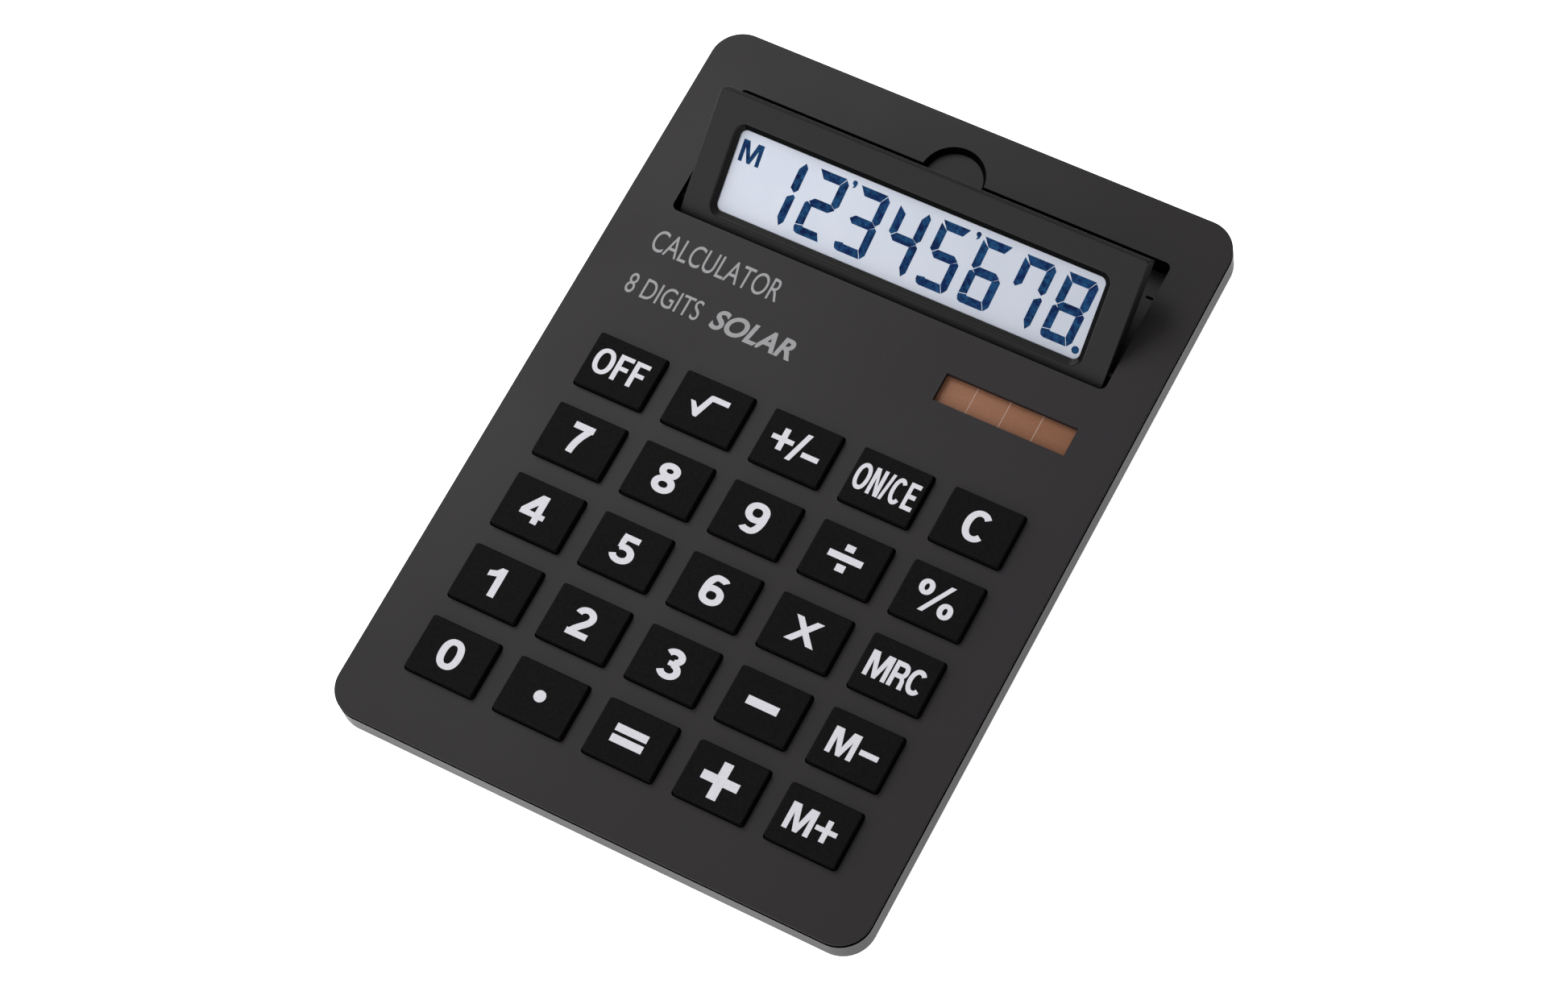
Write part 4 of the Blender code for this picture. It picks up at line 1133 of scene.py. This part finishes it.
def make_case_print(finish):
    """Generic words in the built-in font, over the keys on the left, stretched to fill their boxes."""
    top = box_mm("top_cover")[1].z
    lines = (
        ("case_print_name", "CALCULATOR", -86.5, 54.3, 52.0, 9.0, 0.0, 0.0),
        ("case_print_digits", "8 DIGITS", -87.0, 35.8, 30.0, 8.2, 0.0, 0.0),
        ("case_print_power", "SOLAR", -52.0, 35.7, 33.0, 8.4, 0.03, 0.22),
    )
    for name, words, low_x, low_y, width, height, weight, shear in lines:
        data = bpy.data.curves.new(name, "FONT")
        data.body = words
        data.shear = shear
        data.offset = weight
        data.extrude = 0.01
        data.resolution_u = 6
        text = bpy.data.objects.new(name, data)
        bpy.context.scene.collection.objects.link(text)
        bpy.context.view_layer.update()
        graph = bpy.context.evaluated_depsgraph_get()
        shell = bmesh.new()
        shell.from_mesh(bpy.data.meshes.new_from_object(text.evaluated_get(graph)))
        bpy.data.objects.remove(text, do_unlink=True)
        xs = [v.co.x for v in shell.verts]
        ys = [v.co.y for v in shell.verts]
        left = min(xs)
        low = min(ys)
        scale_x = width / (max(xs) - left)
        scale_y = height / (max(ys) - low)
        for v in shell.verts:
            x = low_x + (v.co.x - left) * scale_x
            y = low_y + (v.co.y - low) * scale_y
            v.co = (x, y, top + math.copysign(INK, v.co.z))
        bmesh.ops.remove_doubles(shell, verts=shell.verts, dist=0.001)
        piece = new_mesh(name, shell)
        piece.data.materials.append(finish)
        lay(piece, "case")


# ---- Display ----


def make_display_shell(finish, window_shade_finish, rear_shade_finish):
    half_x = box_mm("display_bezel")[1].x
    half_y = (MODULE_BACK - MODULE_FRONT) / 2.0
    middle = (0.0, (MODULE_BACK + MODULE_FRONT) / 2.0)
    window_y = (WINDOW_BACK - WINDOW_FRONT) / 2.0
    window_middle = (0.0, (WINDOW_BACK + WINDOW_FRONT) / 2.0)
    steps = 8

    def window(outset, z):
        return ring(
            WINDOW_HALF_X + outset, window_y + outset, WINDOW_CORNER + outset, z, window_middle, steps
        )

    inner_x = half_x - MODULE_WALL
    inner_y = half_y - MODULE_WALL
    rings = [
        window(0.0, MODULE_CEILING),
        ring(inner_x, inner_y, 0.6, MODULE_CEILING, middle, steps),
        ring(inner_x, inner_y, 0.6, SHELL_BOTTOM, middle, steps),
        ring(half_x, half_y, MODULE_CORNER, SHELL_BOTTOM, middle, steps),
    ]
    rings += fillet_rings(half_x, half_y, MODULE_CORNER, MODULE_FACE, MODULE_FILLET, middle, steps)
    for step in range(FILLET_STEPS + 1):
        angle = math.radians(WINDOW_SLOPE * step / FILLET_STEPS)
        outset = WINDOW_EDGE - WINDOW_ROUNDING * math.sin(angle)
        rings.append(window(outset, MODULE_FACE - WINDOW_ROUNDING * (1.0 - math.cos(angle))))
    shell = new_mesh("display_shell", loft(rings, closed=True))
    holes = None
    for low_x, high_x in both_sides(inner_x - PAST, half_x + PAST):
        holes = rod_along_x(low_x, high_x, 0.0, 0.0, 1.6, holes)
    combined(shell, (("DIFFERENCE", holes),))
    finish_mesh(shell, finish)
    shell.data.materials.append(window_shade_finish)
    shell.data.materials.append(rear_shade_finish)
    for face in shell.data.polygons:
        middle = face.center / MM
        inside_x = abs(middle.x) < WINDOW_HALF_X + WINDOW_EDGE - 0.5
        inside_y = WINDOW_FRONT - WINDOW_EDGE < middle.y < WINDOW_BACK + WINDOW_EDGE - 0.5
        sloping = MODULE_CEILING + 0.01 < middle.z < MODULE_FACE - 0.05
        # The window's sloping edge, except on its front and left sides, is painted near-black shade.
        if inside_x and inside_y and sloping and face.normal.y < 0.4 and face.normal.x < 0.3:
            face.material_index = 1
        # The module's rear wall is painted as darker, matter shade.
        elif face.normal.y > 0.5 and middle.y > MODULE_BACK - 1.0:
            face.material_index = 2
    weigh_normals(shell)
    lay(shell, "display", ("display_bezel",), MODULE)


def make_display_back(finish):
    half_x = box_mm("display_bezel")[1].x
    plate_top = SHELL_BOTTOM - GAP
    outline = [(-4.9, plate_top)]
    outline += arc((-2.9, plate_top - 0.3), (2.0, 1.1), 180.0, 270.0, FILLET_STEPS)
    outline += arc((MODULE_BACK - 1.0, MODULE_BOTTOM + 1.0), (1.0, 1.0), 270.0, 360.0, FILLET_STEPS)
    outline.append((MODULE_BACK, plate_top))
    back = new_mesh("display_back", profile_along_x(outline, -half_x, half_x))
    slot = block((CABLE_SLOT_X[0], 2.0, MODULE_BOTTOM - PAST), (CABLE_SLOT_X[1], 5.4, plate_top + PAST))
    bores = None
    for side in (-1, 1):
        x = side * MODULE_SCREW[0]
        slot = post(x, MODULE_SCREW[1], MODULE_BOTTOM - PAST, -3.1, 2.3, slot)
        bores = post(x, MODULE_SCREW[1], -3.6, plate_top + PAST, 1.0, bores, HOLE_SIDES)
    combined(back, (("DIFFERENCE", slot), ("DIFFERENCE", bores)))
    soften(back, FINE_ROUNDING, 2)
    finish_mesh(back, finish)
    weigh_normals(back)
    lay(back, "display", ("display_back_cover",), MODULE)


def make_display_screws(finish):
    for side, name in ((-1, "left"), (1, "right")):
        x = side * MODULE_SCREW[0]
        y = MODULE_SCREW[1]
        low = MODULE_BOTTOM + 0.1
        head = [(0.3, low), (1.5, low), (1.9, low + 0.15), (2.0, low + 0.35), (2.0, -3.4)]
        profile = head + [(0.8, -3.4), (0.8, 0.9)]
        screw = new_mesh(f"steel_display_screw_{name}", turned(x, y, profile))
        combined(screw, cross_recess(x, y, low, 0.4, 1.1, 0.22))
        finish_mesh(screw, finish, 25.0)
        lay(screw, "display", (f"display_screw_{name}",), MODULE)


def make_lcd(finish, ink_finish):
    face_z = MODULE_CEILING - GAP
    panel = new_mesh("lcd_face", block((-76.0, -2.9, 0.0), (76.0, 36.6, face_z)))
    soften(panel, FINE_ROUNDING, 2)
    finish_mesh(panel, finish)
    lay(panel, "display", ("lcd_panel",), MODULE)

    ink = Ink(face_z, rise=INK)
    first_x = LAST_DIGIT_X - (len(DIGITS) - 1) * DIGIT_PITCH
    for place, segments in enumerate(DIGITS):
        left = first_x + place * DIGIT_PITCH
        for segment in segments:
            outline = outset(SEGMENTS[segment], SEGMENT_SPREAD)
            ink.prism([(left + x + DIGIT_SLANT * y, DIGIT_Y + y) for x, y in outline])
            ink.count = 0
    ink.prism(arc((70.85, 3.55), (1.4, 1.4), 0.0, 350.0, 35))
    for x in (-26.15, 23.5):
        ink.prism(arc((x, 28.35), (0.95, 0.95), 0.0, 345.0, 23))
        ink.prism(((x - 0.1, 28.0), (x + 0.95, 28.35), (x + 0.6, 27.0), (x - 0.45, 26.2)))
    ink.done("lcd_digits", ink_finish, "display", MODULE)

    sign = Ink(face_z, rise=INK)
    write(sign, "M", -71.3, 19.8, -62.9, 28.0, 1.55, 1.4)
    sign.done("lcd_memory_sign", ink_finish, "display", MODULE)


def make_cable(finish):
    """The flat cable, shaped along a fixed path from the case into the raised display."""
    low, high = box_mm("display_cable")
    path = [(low.y, 6.7), (60.0, 6.7), (72.0, 6.5), (75.8, 5.4), (80.0, 5.4)]
    for y, z in ((1.4, -4.9), (3.4, -4.0), (4.4, -2.6), (7.0, -1.8), (23.4, -1.8)):
        point = MODULE @ (Vector((0.0, y, z)) * MM) / MM
        path.append((point.y, point.z))
    upper, lower = both_edges(path, (FILM_THICKNESS, FILM_THICKNESS))
    cable = new_mesh("flat_cable", profile_along_x(lower + list(reversed(upper)), low.x, high.x))
    finish_mesh(cable, finish)
    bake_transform(cable)
    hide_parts("display_cable")


# ---- Stage ----


def make_floor():
    mesh = bpy.data.meshes.new("floor")
    shell = bmesh.new()
    bmesh.ops.create_grid(shell, x_segments=1, y_segments=1, size=6.0)
    shell.to_mesh(mesh)
    shell.free()
    mesh.materials.append(floor_material())
    floor = bpy.data.objects.new("floor", mesh)
    bpy.context.scene.collection.objects.link(floor)


def make_sky():
    """A soft sky, dimmer towards the top and brighter on the left and the front."""
    world = bpy.data.worlds.new("studio")
    bpy.context.scene.world = world
    world.use_nodes = True
    sky = Tree(world.node_tree)
    background = sky.tree.nodes["Background"]
    background.inputs["Strength"].default_value = SKY_STRENGTH
    split = sky.tree.nodes.new("ShaderNodeSeparateXYZ")
    sky.link(sky.node("TexCoord", "Generated", {}, {}), split.inputs["Vector"])
    ramp = sky.tree.nodes.new("ShaderNodeValToRGB")
    sky.link(split.outputs["Z"], ramp.inputs["Fac"])
    for element, (position, grey) in zip(ramp.color_ramp.elements, SKY_GREYS):
        element.position = position
        element.color = (grey, grey, grey, 1.0)
    level = ramp.outputs["Color"]
    for axis, (low_side, high_side) in SKY_SIDES.items():
        values = {"From Min": -1.0, "To Min": low_side, "To Max": high_side}
        share = sky.node("MapRange", "Result", {"Value": split.outputs[axis]}, values)
        product = sky.tree.nodes.new("ShaderNodeVectorMath")
        product.operation = "MULTIPLY"
        sky.link(level, product.inputs[0])
        sky.link(share, product.inputs[1])
        level = product.outputs["Vector"]
    sky.link(level, background.inputs["Color"])


def make_lights():
    for name, place, size, energy in LIGHTS:
        data = bpy.data.lights.new(name, "AREA")
        data.shape = "DISK"
        data.size = size
        data.energy = energy
        light = bpy.data.objects.new(name, data)
        light.location = place
        light.rotation_mode = "QUATERNION"
        light.rotation_quaternion = (-Vector(place)).to_track_quat("-Z", "Y")
        bpy.context.scene.collection.objects.link(light)


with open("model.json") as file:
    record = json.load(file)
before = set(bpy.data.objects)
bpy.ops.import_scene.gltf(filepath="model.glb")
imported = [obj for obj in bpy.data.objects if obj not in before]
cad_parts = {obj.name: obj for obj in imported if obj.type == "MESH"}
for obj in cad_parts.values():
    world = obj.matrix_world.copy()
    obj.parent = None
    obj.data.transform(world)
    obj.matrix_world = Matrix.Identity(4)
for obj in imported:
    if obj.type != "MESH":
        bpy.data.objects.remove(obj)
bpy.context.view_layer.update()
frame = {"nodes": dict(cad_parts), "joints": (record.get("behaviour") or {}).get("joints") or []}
camera()

JOINTS = {joint["name"]: joint for joint in frame["joints"]}
TILT = JOINTS["display_tilt"]
HINGE = Vector(TILT["pos_m"]) / MM
# The display stands as far up as its joint lets it fall, so the joint's low limit gives the tilt.
RAISED = Matrix.Rotation(math.radians(-TILT["range_deg"][0]), 4, "X")
MODULE = Matrix.Translation(Vector(TILT["pos_m"])) @ RAISED

charcoal = moulded("case_plastic", (0.0080, 0.0066, 0.0077), 0.5, 0.18)
charcoal_lower = moulded("case_plastic_lower", (0.0080, 0.0066, 0.0077), 0.45, 0.25)
bezel_plastic = moulded("bezel_plastic", (0.0050, 0.0048, 0.0050), 0.42, 0.15)
# Darker, matter bezel plastic: painted shade for the module's rear wall.
bezel_rear_painted_shade = moulded("bezel_rear_painted_shade", (0.0045, 0.0043, 0.0045), 0.7, 0.04)
# Near-black painted shade for the sloping edge of the display window.
window_painted_shade = moulded("window_painted_shade", (0.0012, 0.0012, 0.0013), 0.6, 0.03, 1200.0, 0.3, 0.005)
# Near-black painted shade for the seam groove and for the walls of the recess and the finger notch.
seam_painted_shade = moulded("seam_painted_shade", (0.0012, 0.0012, 0.0012), 0.8, 0.02, 1200.0, 0.3, 0.005)
key_plastic = moulded("key_plastic", (0.0026, 0.0026, 0.0026), 0.7, 0.045, 1300.0, 0.5, 0.03)
rubber = moulded("foot_rubber", (0.012, 0.012, 0.012), 0.85, 0.2, 900.0, 0.3, 0.03)
silicone = moulded("silicone_rubber", (0.35, 0.36, 0.38), 0.75, 0.3, 700.0, 0.1, 0.02)
epoxy = moulded("chip_epoxy", (0.012, 0.012, 0.012), 0.5, 0.4, 1500.0, 0.2, 0.01)
insulation = moulded("lead_insulation", (0.45, 0.03, 0.03), 0.5, 0.4, 600.0, 0.1, 0.005)
elastomer = moulded("zebra_elastomer", (0.75, 0.45, 0.45), 0.7, 0.3, 900.0, 0.12, 0.01)
film = moulded("cable_film", (0.52, 0.30, 0.09), 0.4, 0.4, 500.0, 0.12, 0.005)
steel = metal("zinc_steel", (0.60, 0.60, 0.62), 0.32)
black_steel = metal("black_oxide_steel", (0.012, 0.012, 0.013), 0.45)
nickel = metal("nickel_spring", (0.70, 0.67, 0.60), 0.26)
legend_ink = printed("legend_ink", (0.45, 0.44, 0.475))
case_ink = printed("case_ink", (0.20, 0.20, 0.205))
solar_line = printed("solar_line_ink", (0.32, 0.22, 0.18))
solar_film = solar_material()
board = board_material()

make_case_top(charcoal, seam_painted_shade)
make_case_bottom(charcoal_lower, seam_painted_shade)
make_feet(rubber)
make_case_screws(steel)
make_battery_cover(charcoal)
make_solar_cell(solar_film, solar_line)
make_keys(key_plastic, legend_ink)
make_case_print(case_ink)
make_display_shell(bezel_plastic, window_painted_shade, bezel_rear_painted_shade)
make_display_back(bezel_plastic)
make_display_screws(steel)
make_lcd(lcd_face_material(), lcd_ink_material())
make_cable(film)

CAD_FINISHES = {
    "key_mat": silicone,
    "circuit_board": board,
    "display_board": board,
    "controller_chip": epoxy,
    "board_screw_1": steel,
    "board_screw_2": steel,
    "solar_lead": insulation,
    "button_cell": steel,
    "battery_contact_minus": nickel,
    "battery_contact_plus": nickel,
    "lcd_contact_strip": elastomer,
    "display_hinge_pin_left": black_steel,
    "display_hinge_pin_right": black_steel,
    "tilt_friction_clip": nickel,
}
for node, node_finish in CAD_FINISHES.items():
    node_mesh = frame["nodes"][node].data
    node_mesh.materials.clear()
    node_mesh.materials.append(node_finish)

make_floor()
make_sky()
make_lights()
bpy.context.scene.view_settings.view_transform = "Standard"
